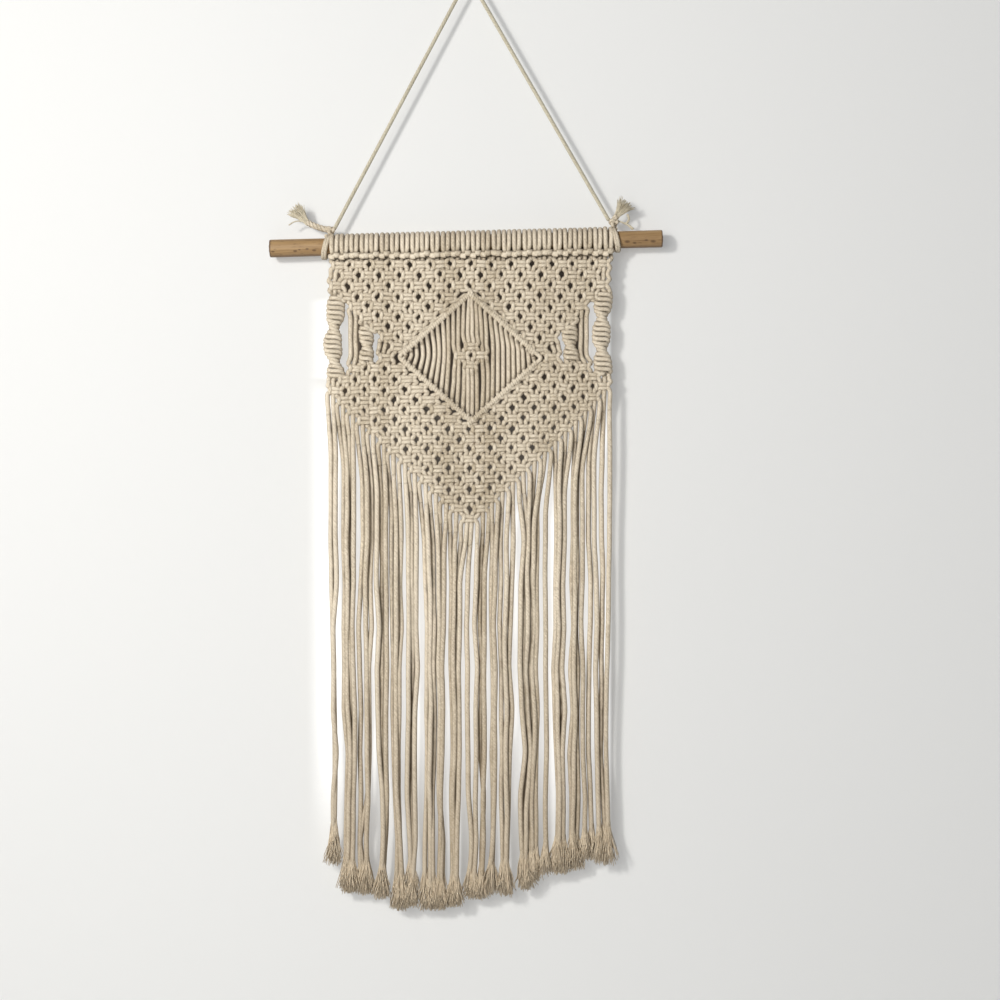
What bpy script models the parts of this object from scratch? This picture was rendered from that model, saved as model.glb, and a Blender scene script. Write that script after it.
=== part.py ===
"""Macrame wall hanging on a wooden dowel.

Metres, +Z up, +X to the right, +Y away from the viewer.
The origin is the top of the bend where the hanging cord passes over its nail.
Fifty-six cotton cords hang from the dowel on lark's heads.  They are knotted into a net round
an open diamond, with a twisted sinnet and plain cords at each side, and end in a V-shaped fringe.
"""
import math

import bmesh
import bpy
import numpy as np
from mathutils import Matrix, Vector

GAP = 0.0003                       # clearance between neighbouring pieces

# Dowel: the axis runs from the left end's centre to the right end's centre, (x, z).
DOWEL_RADIUS = 0.00685
DOWEL_LEFT_END = (-0.1543, -0.2041)
DOWEL_RIGHT_END = (0.1506, -0.1964)
DOWEL_SIDES = 24
DOWEL_EDGE_BEVEL = 0.0008

# Cords
CORD_COUNT = 56
CORD_PITCH = 0.003924
WORK_LEFT = -0.1079
NET_Y = -0.0035                    # plane in which the knotted work hangs

# Lark's heads: a ridged sleeve round the dowel and a row of short bars below it.
WRAP_THICKNESS = 0.0025
WRAP_RIDGE = 0.0008
WRAP_STEPS = 12
BAR_ROW_LEFT_Z = -0.2111
BAR_ROW_RIGHT_Z = -0.2077
BAR_ROW_Y = -0.0055
BAR_RADIUS = 0.0024
BAR_NARROWING = 0.72

# The band of 56 cords at some rows of knots: its left and right edges.
BAND_ROWS = (
    # row, left x, left z, right x, right z
    (1, -0.1079, -0.2176, 0.1115, -0.2161),
    (4, -0.1094, -0.2420, 0.1100, -0.2413),
    (9, -0.1091, -0.2807, 0.1100, -0.2815),
    (13, -0.1102, -0.3148, 0.1108, -0.3113),
    (26, -0.1094, -0.4146, 0.1111, -0.4123),
)
FIRST_FRINGE_ROW = 13
LAST_ROW = 26

# Square knots of the left half, four cords each: first cords of the outermost knot and of the
# knot beside the diamond.  The right half mirrors it, and a row with no inner knot runs through.
UPPER_ROWS = (
    # row, outermost first cord, first cord beside the diamond
    (1, 0, None),
    (2, 2, None),
    (3, 0, None),
    (4, 2, 22),
    (5, 4, 20),
    (6, 6, 18),
    (7, 8, 16),
    (8, 10, 14),
    (9, 12, 12),
)
LOWER_ROWS = (
    (10, 10, 10),
    (11, 4, 12),
    (12, 2, 14),
    (13, 0, 16),
    (14, 2, 18),
    (15, 4, 20),
    (16, 6, 22),
) + tuple((row, 2 * (row - FIRST_FRINGE_ROW), None) for row in range(17, LAST_ROW + 1))

KNOT_CORDS = 4
LINK_DX = 0.0039                   # from a knot's centre to the crossing with the next row
LINK_HALF_WIDTH_X = 0.0027
LINK_HALF_WIDTH_Z = 0.0014
KNOT_DEPTH = 0.0074
LINK_DEPTH_SHARE = 0.52            # the work's depth between knots, as a share of the knots' own
EDGE_PULL_BACK = 0.0005

# Diamond of double half hitches: corners (x, z).
DIAMOND_TOP = (0.0012, -0.2382)
DIAMOND_LEFT = (-0.0537, -0.2885)
DIAMOND_RIGHT = (0.0570, -0.2892)
DIAMOND_BOTTOM = (0.0020, -0.3372)
DIAMOND_REACH = 0.066              # knots this near the middle face the diamond
DIAMOND_BAR_RADIUS = 0.0028
DIAMOND_CLEARANCE = DIAMOND_BAR_RADIUS + 1.5 * GAP
DIAMOND_RIDGES = 9                 # ridges along one side
DIAMOND_NARROWING = 0.82
DIAMOND_FIRST_CORD = 14
DIAMOND_BOW = 0.0034               # how far the outer strands bow sideways
STRAND_RADIUS = 0.00165
ROSETTE_KNOTS = (
    # x, z of the four knots round the middle hole
    (0.0012, -0.2780),
    (-0.0073, -0.2862),
    (0.0105, -0.2869),
    (0.0020, -0.2977),
)
ROSETTE_HALF_WIDTH = 0.0062
ROSETTE_HALF_HEIGHT = 0.0048
ROSETTE_HALF_DEPTH = 0.0040

# Twisted sinnets: an oval section that turns on its way down.
SINNETS = (
    # name, top x, top z, bottom x, bottom z, half-width, half-turn, widest at z
    ("sinnet_outer_left", -0.1047, -0.2393, -0.1060, -0.3083, 0.0066, 0.0286, -0.2784),
    ("sinnet_outer_right", 0.1052, -0.2386, 0.1066, -0.3052, 0.0066, 0.0228, -0.2710),
    ("sinnet_inner_left", -0.0800, -0.2660, -0.0795, -0.2938, 0.0050, 0.0178, -0.2730),
    ("sinnet_inner_right", 0.0812, -0.2655, 0.0782, -0.2912, 0.0050, 0.0170, -0.2730),
)
SINNET_HALF_DEPTH = 0.0037
SINNET_RIDGE_PITCH = 0.0036
SINNET_NARROWING = 0.86
SINNET_END_SHARE = 0.48            # width of a sinnet's two ends
SINNET_SIDES = 6

# Plain cords between knots at the sides
PLAIN_CORDS = (
    # name, top x, top z, bottom x, bottom z
    ("plain_cord_left_1", -0.0925, -0.2534, -0.0925, -0.2942),
    ("plain_cord_left_2", -0.0880, -0.2554, -0.0878, -0.2923),
    ("plain_cord_left_3", -0.0672, -0.2770, -0.0668, -0.2852),
    ("plain_cord_left_4", -0.0632, -0.2786, -0.0630, -0.2839),
    ("plain_cord_right_1", 0.0935, -0.2527, 0.0930, -0.2928),
    ("plain_cord_right_2", 0.0888, -0.2548, 0.0884, -0.2906),
    ("plain_cord_right_3", 0.0684, -0.2770, 0.0680, -0.2852),
    ("plain_cord_right_4", 0.0643, -0.2788, 0.0641, -0.2838),
)
PLAIN_CORD_RADIUS = 0.0018

# Fringe
FRINGE_EDGE_OFFSET = 0.0048        # from the outer knots' centre line to the net's edge
FRINGE_STRIP_THICKNESS = 0.0028
FRINGE_STRIP_DEPTH = 0.0072
FRINGE_FRONT_Y = -0.0053
FRINGE_BACK_Y = -0.0016
FRINGE_HALF_WIDTH = 0.0015
FRINGE_TIP_HALF_WIDTH = 0.0025
FRINGE_BRUSH_LENGTH = 0.017
FRINGE_WANDER = 0.0016
FRINGE_TIPS = (
    # cord, z of its tip
    (0, -0.6786),
    (1, -0.6800),
    (2, -0.7000),
    (8, -0.7010),
    (10, -0.7040),
    (15, -0.7120),
    (19, -0.7157),
    (25, -0.7134),
    (27, -0.7088),
    (29, -0.7045),
    (36, -0.7040),
    (38, -0.6940),
    (41, -0.6990),
    (43, -0.6875),
    (48, -0.6871),
    (50, -0.6755),
    (55, -0.6770),
)

# Hanging cord and its two tied ends
HANGER_RADIUS = 0.00145
HANGER_BEND_RADIUS = 0.0060
HANGER_LEFT_START = (-0.10380, -0.18901)
HANGER_RIGHT_START = (0.10870, -0.18241)
HANGER_LEGS_MEET = (0.0, 0.0064)
HANGER_STEP = 0.0085
HANGER_Y = -0.0020
TIE_RING_RADIUS = 0.00185
TIES = (
    # side, ring x, knot x, knot z, tail sections as (x, z, half-width, half-depth)
    ("left", -0.1101, -0.1090, -0.1900, (
        (-0.1085, -0.1897, 0.0020, 0.0020),
        (-0.1133, -0.1890, 0.0026, 0.0024),
        (-0.1234, -0.1871, 0.0026, 0.0024),
        (-0.1280, -0.1817, 0.0030, 0.0026),
        (-0.1315, -0.1765, 0.0050, 0.0032),
        (-0.1345, -0.1722, 0.0052, 0.0028),
    )),
    ("right", 0.1140, 0.1126, -0.1844, (
        (0.1120, -0.1842, 0.0018, 0.0018),
        (0.1142, -0.1790, 0.0024, 0.0022),
        (0.1172, -0.1745, 0.0046, 0.0028),
        (0.1210, -0.1690, 0.0070, 0.0030),
        (0.1228, -0.1664, 0.0064, 0.0024),
    )),
)
TIE_KNOT_HALF_SIZE = (0.0041, 0.0038, 0.0031)

COTTON = (0.62, 0.53, 0.41, 1.0)
HANGER_COTTON = (0.60, 0.54, 0.43, 1.0)
WOOD = (0.47, 0.30, 0.16, 1.0)


# ---------------------------------------------------------------- scene set-up

def clear_scene():
    """Remove every object that the file opened with."""
    for item in list(bpy.data.objects):
        bpy.data.objects.remove(item, do_unlink=True)


def new_collection(name):
    """Make a collection under the scene's own."""
    group = bpy.data.collections.new(name)
    bpy.context.scene.collection.children.link(group)
    return group


def new_material(name, colour, roughness):
    """Make a Principled material of one colour."""
    material = bpy.data.materials.new(name)
    material.use_nodes = True
    shader = material.node_tree.nodes["Principled BSDF"]
    shader.inputs["Base Color"].default_value = colour
    shader.inputs["Roughness"].default_value = roughness
    shader.inputs["Metallic"].default_value = 0.0
    return material


def new_object(name, data, group, material):
    """Put mesh or curve data into a collection as a named object."""
    item = bpy.data.objects.new(name, data)
    if material is not None:
        item.data.materials.append(material)
    group.objects.link(item)
    return item


def as_mesh(item, material):
    """Turn a curve or an object with modifiers into a plain mesh object of the same name."""
    bpy.context.view_layer.update()
    evaluated = item.evaluated_get(bpy.context.evaluated_depsgraph_get())
    mesh = bpy.data.meshes.new_from_object(evaluated)
    shape = bmesh.new()
    shape.from_mesh(mesh)
    bmesh.ops.remove_doubles(shape, verts=shape.verts, dist=0.000001)
    shape.to_mesh(mesh)
    shape.free()
    mesh.materials.clear()
    mesh.materials.append(material)
    name = item.name
    group = item.users_collection[0]
    place = item.matrix_world.copy()
    bpy.data.objects.remove(item, do_unlink=True)
    solid = bpy.data.objects.new(name, mesh)
    solid.matrix_world = place
    group.objects.link(solid)
    return solid


def as_cutter(item, cutters):
    """Move an object to the collection of shapes that are only joined to others."""
    for group in list(item.users_collection):
        group.objects.unlink(item)
    cutters.objects.link(item)
    item.hide_render = True
    item.display_type = "WIRE"


def union(item, others):
    """Join every object of a collection to this one."""
    joined = item.modifiers.new("joined", "BOOLEAN")
    joined.operation = "UNION"
    joined.solver = "EXACT"
    joined.operand_type = "COLLECTION"
    joined.collection = others


# ---------------------------------------------------------------- shapes

def tube(name, points, radius, group, material, radii=None, resolution=0, cyclic=False):
    """A round bar along points, as a POLY curve with a bevel; radii are shares of the radius."""
    curve = bpy.data.curves.new(name, "CURVE")
    curve.dimensions = "3D"
    curve.bevel_depth = radius
    curve.bevel_resolution = resolution
    curve.use_fill_caps = True
    spline = curve.splines.new("POLY")
    spline.points.add(len(points) - 1)
    spline.use_cyclic_u = cyclic
    for index, point in enumerate(points):
        spline.points[index].co = (point[0], point[1], point[2], 1.0)
        spline.points[index].radius = 1.0 if radii is None else radii[index]
    return as_mesh(new_object(name, curve, group, material), material)


def loft(name, rings, group, material):
    """A closed body through rings of equally many points, with flat ends."""
    rings = np.asarray(rings)
    count, sides = rings.shape[0], rings.shape[1]
    shape = bmesh.new()
    grid = [[shape.verts.new(point) for point in ring] for ring in rings]
    for index in range(count - 1):
        for side in range(sides):
            after = (side + 1) % sides
            shape.faces.new((grid[index][side], grid[index][after],
                             grid[index + 1][after], grid[index + 1][side]))
    shape.faces.new(list(reversed(grid[0])))
    shape.faces.new(grid[-1])
    bmesh.ops.recalc_face_normals(shape, faces=shape.faces)
    mesh = bpy.data.meshes.new(name)
    shape.to_mesh(mesh)
    shape.free()
    return new_object(name, mesh, group, material)


def ellipse_ring(centre, across, along, sides):
    """Points of an ellipse with the half-axis vectors across and along."""
    turn = np.arange(sides) * 2.0 * math.pi / sides
    centre = np.asarray(centre)
    return centre + np.outer(np.cos(turn), across) + np.outer(np.sin(turn), along)


# ---------------------------------------------------------------- places in the work

def dowel_z(x):
    """Height of the dowel's axis at x."""
    (x_left, z_left), (x_right, z_right) = DOWEL_LEFT_END, DOWEL_RIGHT_END
    return z_left + (z_right - z_left) * (x - x_left) / (x_right - x_left)


def dowel_direction():
    """Unit vector along the dowel, from left to right."""
    (x_left, z_left), (x_right, z_right) = DOWEL_LEFT_END, DOWEL_RIGHT_END
    return Vector((x_right - x_left, 0.0, z_right - z_left)).normalized()


def place(cord, row):
    """(x, z) in the work: cord counts cord widths from the left edge, row counts knot rows."""
    rows, left_x, left_z, right_x, right_z = zip(*BAND_ROWS)
    share = cord / CORD_COUNT
    x = (1.0 - share) * np.interp(row, rows, left_x) + share * np.interp(row, rows, right_x)
    z = (1.0 - share) * np.interp(row, rows, left_z) + share * np.interp(row, rows, right_z)
    return np.array((x, z))


def bar_row_z(x):
    """Height of the row of bars under the dowel at x."""
    share = (x - WORK_LEFT) / (CORD_COUNT * CORD_PITCH)
    return BAR_ROW_LEFT_Z + share * (BAR_ROW_RIGHT_Z - BAR_ROW_LEFT_Z)


def knots_of(table):
    """All (row, first cord) of a table of rows, with the mirrored right half."""
    last_first_cord = CORD_COUNT - KNOT_CORDS
    knots = []
    for row, outer, inner in table:
        if inner is None:
            knots += [(row, cord) for cord in range(outer, last_first_cord - outer + 1, KNOT_CORDS)]
        else:
            left = list(range(outer, inner + 1, KNOT_CORDS))
            knots += [(row, cord) for cord in left]
            knots += [(row, last_first_cord - cord) for cord in left]
    return knots


def side_of_line(point, start, end):
    """1 where a point lies left of the line from start to end, else -1."""
    run, rise = end[0] - start[0], end[1] - start[1]
    across = run * (point[1] - start[1]) - rise * (point[0] - start[0])
    return 1 if across > 0.0 else -1


def snap_to_line(point, start, end, offset, side):
    """Move a point square to a line until it lies at an offset on the given side of it."""
    start, end = np.asarray(start), np.asarray(end)
    direction = (end - start) / np.linalg.norm(end - start)
    normal = np.array((-direction[1], direction[0])) * side
    return point + normal * (offset - np.dot(point - start, normal))


def diamond_side(point):
    """The two corners of the diamond's side that faces a point outside it."""
    vertical = DIAMOND_TOP if point[1] > DIAMOND_LEFT[1] else DIAMOND_BOTTOM
    sideways = DIAMOND_LEFT if point[0] < DIAMOND_TOP[0] else DIAMOND_RIGHT
    return vertical, sideways


def clear_of_diamond(point):
    """Push a point out until it clears the diamond's bars."""
    corners = [np.array(c) for c in (DIAMOND_TOP, DIAMOND_RIGHT, DIAMOND_BOTTOM, DIAMOND_LEFT)]
    depths = []
    for index, corner in enumerate(corners):
        along = corners[(index + 1) % len(corners)] - corner
        outward = np.array((-along[1], along[0])) / np.linalg.norm(along)
        depths.append((float(np.dot(point - corner, outward)), tuple(outward)))
    depth, outward = max(depths)
    missing = max(0.0, DIAMOND_CLEARANCE - depth)
    return point + np.array(outward) * missing


def fringe_line(side):
    """The line through the outer knots' centres, from the side down to the bottom knot."""
    cord = KNOT_CORDS / 2 if side < 0 else CORD_COUNT - KNOT_CORDS / 2
    return place(cord, FIRST_FRINGE_ROW), place(CORD_COUNT / 2, LAST_ROW)


def free_edge_point(row, first_cord, step_x, step_z, point):
    """Where the work's edge lies when the neighbouring knot is missing on one diagonal."""
    centre = place(first_cord + KNOT_CORDS / 2, row)
    if row == 1 and step_z > 0:
        return np.array((point[0], bar_row_z(point[0]) - BAR_RADIUS - 1.5 * GAP))
    towards_middle = -1 if centre[0] > DIAMOND_TOP[0] else 1
    near_diamond = 3 <= row <= 17 and abs(centre[0] - DIAMOND_TOP[0]) < DIAMOND_REACH
    if near_diamond and step_x == towards_middle:
        corner, sideways = diamond_side(centre)
        side = side_of_line(centre, corner, sideways)
        return snap_to_line(point, corner, sideways, DIAMOND_CLEARANCE, side)
    if row >= FIRST_FRINGE_ROW and step_z < 0:
        start, end = fringe_line(step_x)
        side = 1 if step_x > 0 else -1
        return snap_to_line(point, start, end, FRINGE_EDGE_OFFSET, side)
    pull = np.array((step_x, step_z)) * EDGE_PULL_BACK
    return point - pull


def net(name, table, group, material):
    """A knotted panel: a fan of faces round each knot, joined where cords cross to the next row.

    The openings between the knots stay open, and a vertex group makes the knots stand out.
    """
    knots = knots_of(table)
    known = set(knots)
    shape = bmesh.new()
    shared = {}
    centres = []

    def crossing(row, first_cord, step_x, step_z):
        """The two points where this knot meets its diagonal neighbour."""
        other = (row - step_z, first_cord + 2 * step_x)
        key = tuple(sorted(((row, first_cord), other)))
        if other in known and key in shared:
            return shared[key]
        centre = place(first_cord + KNOT_CORDS / 2, row)
        beyond = place(other[1] + KNOT_CORDS / 2, other[0])
        middle = 0.5 * (centre + beyond)
        middle[0] = centre[0] + step_x * LINK_DX if other not in known else middle[0]
        outer = middle + (step_x * LINK_HALF_WIDTH_X, -step_z * LINK_HALF_WIDTH_Z)
        inner = middle + (-step_x * LINK_HALF_WIDTH_X, step_z * LINK_HALF_WIDTH_Z)
        if other not in known:
            outer = free_edge_point(row, first_cord, step_x, step_z, outer)
            inner = free_edge_point(row, first_cord, step_x, step_z, inner)
        pair = {}
        for label, point in (("outer", outer), ("inner", inner)):
            x, z = clear_of_diamond(point)
            pair[label] = shape.verts.new((x, NET_Y, z))
        found = {(row, first_cord): (pair["outer"], pair["inner"])}
        found[other] = (pair["inner"], pair["outer"])
        if other in known:
            shared[key] = found
        return found

    for row, first_cord in knots:
        corners = {}
        for step_x, step_z in ((1, 1), (1, -1), (-1, -1), (-1, 1)):
            corners[step_x, step_z] = crossing(row, first_cord, step_x, step_z)[row, first_cord]
        ring = (corners[1, 1][1], corners[1, 1][0], corners[1, -1][0], corners[1, -1][1],
                corners[-1, -1][1], corners[-1, -1][0], corners[-1, 1][0], corners[-1, 1][1])
        x, z = place(first_cord + KNOT_CORDS / 2, row)
        centre = shape.verts.new((x, NET_Y, z))
        centres.append(centre)
        for index in range(len(ring)):
            shape.faces.new((centre, ring[index], ring[(index + 1) % len(ring)]))
    shape.verts.index_update()
    raised = [vertex.index for vertex in centres]
    mesh = bpy.data.meshes.new(name)
    shape.to_mesh(mesh)
    shape.free()
    item = new_object(name, mesh, group, material)
    fullness = item.vertex_groups.new(name="fullness")
    fullness.add(list(range(len(mesh.vertices))), LINK_DEPTH_SHARE, "REPLACE")
    fullness.add(raised, 1.0, "REPLACE")
    body = item.modifiers.new("depth", "SOLIDIFY")
    body.thickness = KNOT_DEPTH
    body.offset = 0.0
    body.vertex_group = "fullness"
    return item


# ---------------------------------------------------------------- pieces

def add_dowel(group, material):
    """The turned rod with its two sawn ends."""
    (x_left, z_left), (x_right, z_right) = DOWEL_LEFT_END, DOWEL_RIGHT_END
    length = math.hypot(x_right - x_left, z_right - z_left)
    bpy.ops.mesh.primitive_cylinder_add(vertices=DOWEL_SIDES, radius=DOWEL_RADIUS, depth=length)
    rod = bpy.context.object
    rod.name = "dowel"
    middle = Vector(((x_left + x_right) / 2, 0.0, (z_left + z_right) / 2))
    turn = Vector((0.0, 0.0, 1.0)).rotation_difference(dowel_direction())
    rod.matrix_world = Matrix.Translation(middle) @ turn.to_matrix().to_4x4()
    for other in list(rod.users_collection):
        other.objects.unlink(rod)
    group.objects.link(rod)
    rod.data.materials.append(material)
    edges = rod.modifiers.new("eased_ends", "BEVEL")
    edges.width = DOWEL_EDGE_BEVEL
    edges.segments = 1
    edges.limit_method = "ANGLE"
    edges.angle_limit = math.radians(60)
    return rod


def add_heading(group, cutters, material):
    """Lark's heads: a ridged sleeve turned round the dowel, with the row of bars joined to it."""
    heads = CORD_COUNT // 2
    pitch = 2.0 * CORD_PITCH
    inner = (DOWEL_RADIUS + GAP) / math.cos(math.pi / WRAP_STEPS)
    outer = inner + WRAP_THICKNESS
    profile = [(inner, 0.0), (inner, heads * pitch), (outer - WRAP_RIDGE, heads * pitch)]
    for head in reversed(range(heads)):
        profile.append((outer, (head + 0.5) * pitch))
        profile.append((outer - WRAP_RIDGE, head * pitch))
    shape = bmesh.new()
    points = [shape.verts.new((radius, 0.0, along)) for radius, along in profile]
    for index in range(len(points)):
        shape.edges.new((points[index], points[(index + 1) % len(points)]))
    mesh = bpy.data.meshes.new("heading")
    shape.to_mesh(mesh)
    shape.free()
    sleeve = new_object("heading", mesh, group, material)
    turned = sleeve.modifiers.new("turned", "SCREW")
    turned.steps = WRAP_STEPS
    turned.render_steps = WRAP_STEPS
    turned.use_merge_vertices = True
    turned.merge_threshold = 0.00001
    turned.use_normal_calculate = True
    start = Vector((WORK_LEFT, 0.0, dowel_z(WORK_LEFT)))
    turn = Vector((0.0, 0.0, 1.0)).rotation_difference(dowel_direction())
    sleeve.matrix_world = Matrix.Translation(start) @ turn.to_matrix().to_4x4()

    bars = []
    sizes = []
    for half in range(2 * heads + 1):
        x = WORK_LEFT + half * CORD_PITCH
        x = min(max(x, WORK_LEFT + GAP), WORK_LEFT + CORD_COUNT * CORD_PITCH - GAP)
        bars.append((x, BAR_ROW_Y, bar_row_z(x)))
        sizes.append(1.0 if half % 2 else BAR_NARROWING)
    row = tube("bar_row", bars, BAR_RADIUS, cutters, material, radii=sizes, resolution=1)
    joined = bpy.data.collections.new("heading_joined")
    cutters.children.link(joined)
    as_cutter(row, joined)
    union(sleeve, joined)
    return sleeve


def diamond_path():
    """Points and size shares round the diamond, from the top clockwise."""
    corners = [DIAMOND_TOP, DIAMOND_RIGHT, DIAMOND_BOTTOM, DIAMOND_LEFT]
    points, sizes = [], []
    steps = 2 * DIAMOND_RIDGES
    for index, corner in enumerate(corners):
        after = corners[(index + 1) % len(corners)]
        for step in range(steps):
            share = step / steps
            x = corner[0] + share * (after[0] - corner[0])
            z = corner[1] + share * (after[1] - corner[1])
            points.append((x, NET_Y, z))
            sizes.append(DIAMOND_NARROWING if step % 2 else 1.0)
    return points, sizes


def diamond_heights(x):
    """Heights of the diamond's upper and lower sides at x."""
    upper = np.interp(x, [DIAMOND_LEFT[0], DIAMOND_TOP[0], DIAMOND_RIGHT[0]],
                      [DIAMOND_LEFT[1], DIAMOND_TOP[1], DIAMOND_RIGHT[1]])
    lower = np.interp(x, [DIAMOND_LEFT[0], DIAMOND_BOTTOM[0], DIAMOND_RIGHT[0]],
                      [DIAMOND_LEFT[1], DIAMOND_BOTTOM[1], DIAMOND_RIGHT[1]])
    return upper, lower


def add_diamond(group, cutters, material):
    """The hitched bars of the diamond, with the strands inside it and the rosette of knots."""
    points, sizes = diamond_path()
    frame = tube("diamond", points, DIAMOND_BAR_RADIUS, group, material,
                 radii=sizes, resolution=1, cyclic=True)
    inside = bpy.data.collections.new("diamond_joined")
    cutters.children.link(inside)
    half = (DIAMOND_RIGHT[0] - DIAMOND_LEFT[0]) / 2
    middle = (DIAMOND_RIGHT[0] + DIAMOND_LEFT[0]) / 2
    strands = CORD_COUNT - 2 * DIAMOND_FIRST_CORD
    pitch = 2 * half / strands
    for index in range(1, strands - 1):
        x = DIAMOND_LEFT[0] + (index + 0.5) * pitch
        upper, lower = diamond_heights(x)
        away = (x - middle) / half
        bow = DIAMOND_BOW * max(0.0, abs(away) - 0.25) * (-1.0 if away > 0 else 1.0)
        span = upper - lower
        lean = bow * (1.0 - abs(away))
        route = [(x + lean * math.sin(math.pi * share), NET_Y, upper - share * span)
                 for share in (0.0, 1.0 / 3.0, 2.0 / 3.0, 1.0)]
        strand = tube("strand_%02d" % index, route, STRAND_RADIUS, inside, material)
        as_cutter(strand, inside)
    for index, (x, z) in enumerate(ROSETTE_KNOTS):
        shape = bmesh.new()
        bmesh.ops.create_uvsphere(shape, u_segments=8, v_segments=6, radius=1.0)
        bmesh.ops.scale(shape, vec=(ROSETTE_HALF_WIDTH, ROSETTE_HALF_DEPTH, ROSETTE_HALF_HEIGHT),
                        verts=shape.verts)
        bmesh.ops.translate(shape, vec=(x, NET_Y, z), verts=shape.verts)
        mesh = bpy.data.meshes.new("rosette_%d" % index)
        shape.to_mesh(mesh)
        shape.free()
        knot = new_object("rosette_%d" % index, mesh, inside, material)
        as_cutter(knot, inside)
    union(frame, inside)
    return frame


def add_sinnet(row, group, material):
    """A twisted sinnet of half knots: an oval section that turns and swells at every knot."""
    name, top_x, top_z, bottom_x, bottom_z, half_width, half_turn, widest_z = row
    steps = 2 * int(round((top_z - bottom_z) / SINNET_RIDGE_PITCH))
    rings = []
    for step in range(steps + 1):
        share = step / steps
        z = top_z + share * (bottom_z - top_z)
        x = top_x + share * (bottom_x - top_x)
        turn = math.pi * (z - widest_z) / half_turn
        swell = 1.0 if step % 2 else SINNET_NARROWING
        ends = min(1.0, SINNET_END_SHARE + 3.5 * min(share, 1.0 - share))
        wide = half_width * swell * ends
        deep = SINNET_HALF_DEPTH * swell * ends
        across = np.array((wide * math.cos(turn), wide * math.sin(turn), 0.0))
        along = np.array((-deep * math.sin(turn), deep * math.cos(turn), 0.0))
        rings.append(ellipse_ring((x, NET_Y, z), across, along, SINNET_SIDES))
    return loft(name, rings, group, material)


def fringe_root_z(x, side):
    """Height of the fringe strip's middle at x."""
    start, end = fringe_line(side)
    direction = (end - start) / np.linalg.norm(end - start)
    offset = FRINGE_EDGE_OFFSET + GAP + FRINGE_STRIP_THICKNESS / 2
    normal = np.array((direction[1], -direction[0])) * (-1.0 if side > 0 else 1.0)
    origin = start + normal * offset
    return origin[1] + (x - origin[0]) * direction[1] / direction[0]


def add_fringe(side, group, cutters, material):
    """One side's strip along the V-shaped edge, with 28 cords hanging from it to frayed tips."""
    name = "fringe_left" if side < 0 else "fringe_right"
    half = CORD_COUNT // 2
    cords = range(half) if side < 0 else range(half, CORD_COUNT)
    tips_cord, tips_z = zip(*FRINGE_TIPS)
    roots = []
    joined = bpy.data.collections.new(name + "_joined")
    cutters.children.link(joined)
    for cord in cords:
        x = place(cord + 0.5, FIRST_FRINGE_ROW)[0]
        root_z = fringe_root_z(x, side)
        roots.append((x, root_z))
        tip_z = float(np.interp(cord, tips_cord, tips_z))
        y = FRINGE_FRONT_Y if cord % 2 else FRINGE_BACK_Y
        length = root_z - tip_z
        stations = (
            # share of the length, half-width
            (0.0, FRINGE_HALF_WIDTH),
            (0.5, FRINGE_HALF_WIDTH),
            (1.0 - FRINGE_BRUSH_LENGTH / length, FRINGE_HALF_WIDTH),
            (1.0 - 0.2 * FRINGE_BRUSH_LENGTH / length, FRINGE_TIP_HALF_WIDTH),
            (1.0, 0.75 * FRINGE_TIP_HALF_WIDTH),
        )
        rings = []
        for share, half_width in stations:
            sway = FRINGE_WANDER * share * math.sin(0.5 * cord + 2.6 * share)
            centre = (x + sway, y, root_z - share * length)
            across = np.array((half_width, 0.0, 0.0))
            along = np.array((0.0, FRINGE_HALF_WIDTH, 0.0))
            rings.append(ellipse_ring(centre, across, along, 4))
        strand = loft("%s_%02d" % (name, cord), rings, joined, material)
        as_cutter(strand, joined)
    first, last = np.array(roots[0]), np.array(roots[-1])
    reach = (last - first) / np.linalg.norm(last - first) * (CORD_PITCH * 0.48)
    start, end = first - reach, last + reach
    along = (end - start) / np.linalg.norm(end - start)
    square = np.array((-along[1], along[0])) * FRINGE_STRIP_THICKNESS / 2
    strip_y = (FRINGE_FRONT_Y + FRINGE_BACK_Y) / 2
    rings = []
    for point in (start, end):
        rings.append([
            (point[0] + square[0], strip_y - FRINGE_STRIP_DEPTH / 2, point[1] + square[1]),
            (point[0] - square[0], strip_y - FRINGE_STRIP_DEPTH / 2, point[1] - square[1]),
            (point[0] - square[0], strip_y + FRINGE_STRIP_DEPTH / 2, point[1] - square[1]),
            (point[0] + square[0], strip_y + FRINGE_STRIP_DEPTH / 2, point[1] + square[1]),
        ])
    strip = loft(name, rings, group, material)
    union(strip, joined)
    return strip


def hanger_route():
    """The hanging cord: two straight legs that meet in one round bend over the nail."""
    left = np.array(HANGER_LEFT_START)
    right = np.array(HANGER_RIGHT_START)
    meet = np.array(HANGER_LEGS_MEET)
    to_left = (left - meet) / np.linalg.norm(left - meet)
    to_right = (right - meet) / np.linalg.norm(right - meet)
    half_angle = 0.5 * math.acos(float(np.dot(to_left, to_right)))
    tangent = HANGER_BEND_RADIUS / math.tan(half_angle)
    bisector = (to_left + to_right) / np.linalg.norm(to_left + to_right)
    centre = meet + bisector * HANGER_BEND_RADIUS / math.sin(half_angle)
    first = meet + to_left * tangent - centre
    angle = math.atan2(first[1], first[0])
    sweep = -(math.pi - 2.0 * half_angle)
    bend = [centre + HANGER_BEND_RADIUS * np.array((math.cos(angle + sweep * k / 8),
                                                    math.sin(angle + sweep * k / 8)))
            for k in range(9)]

    def leg(start, end):
        steps = max(2, int(np.linalg.norm(end - start) / HANGER_STEP))
        return [start + (end - start) * k / steps for k in range(steps)]

    route = leg(left, bend[0]) + bend + list(reversed(leg(right, bend[-1])))
    return [(float(x), HANGER_Y, float(z)) for x, z in route]


def add_hanger(group, material):
    """The hanging cord between its two knots."""
    return tube("hanger_cord", hanger_route(), HANGER_RADIUS, group, material, resolution=2)


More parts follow.
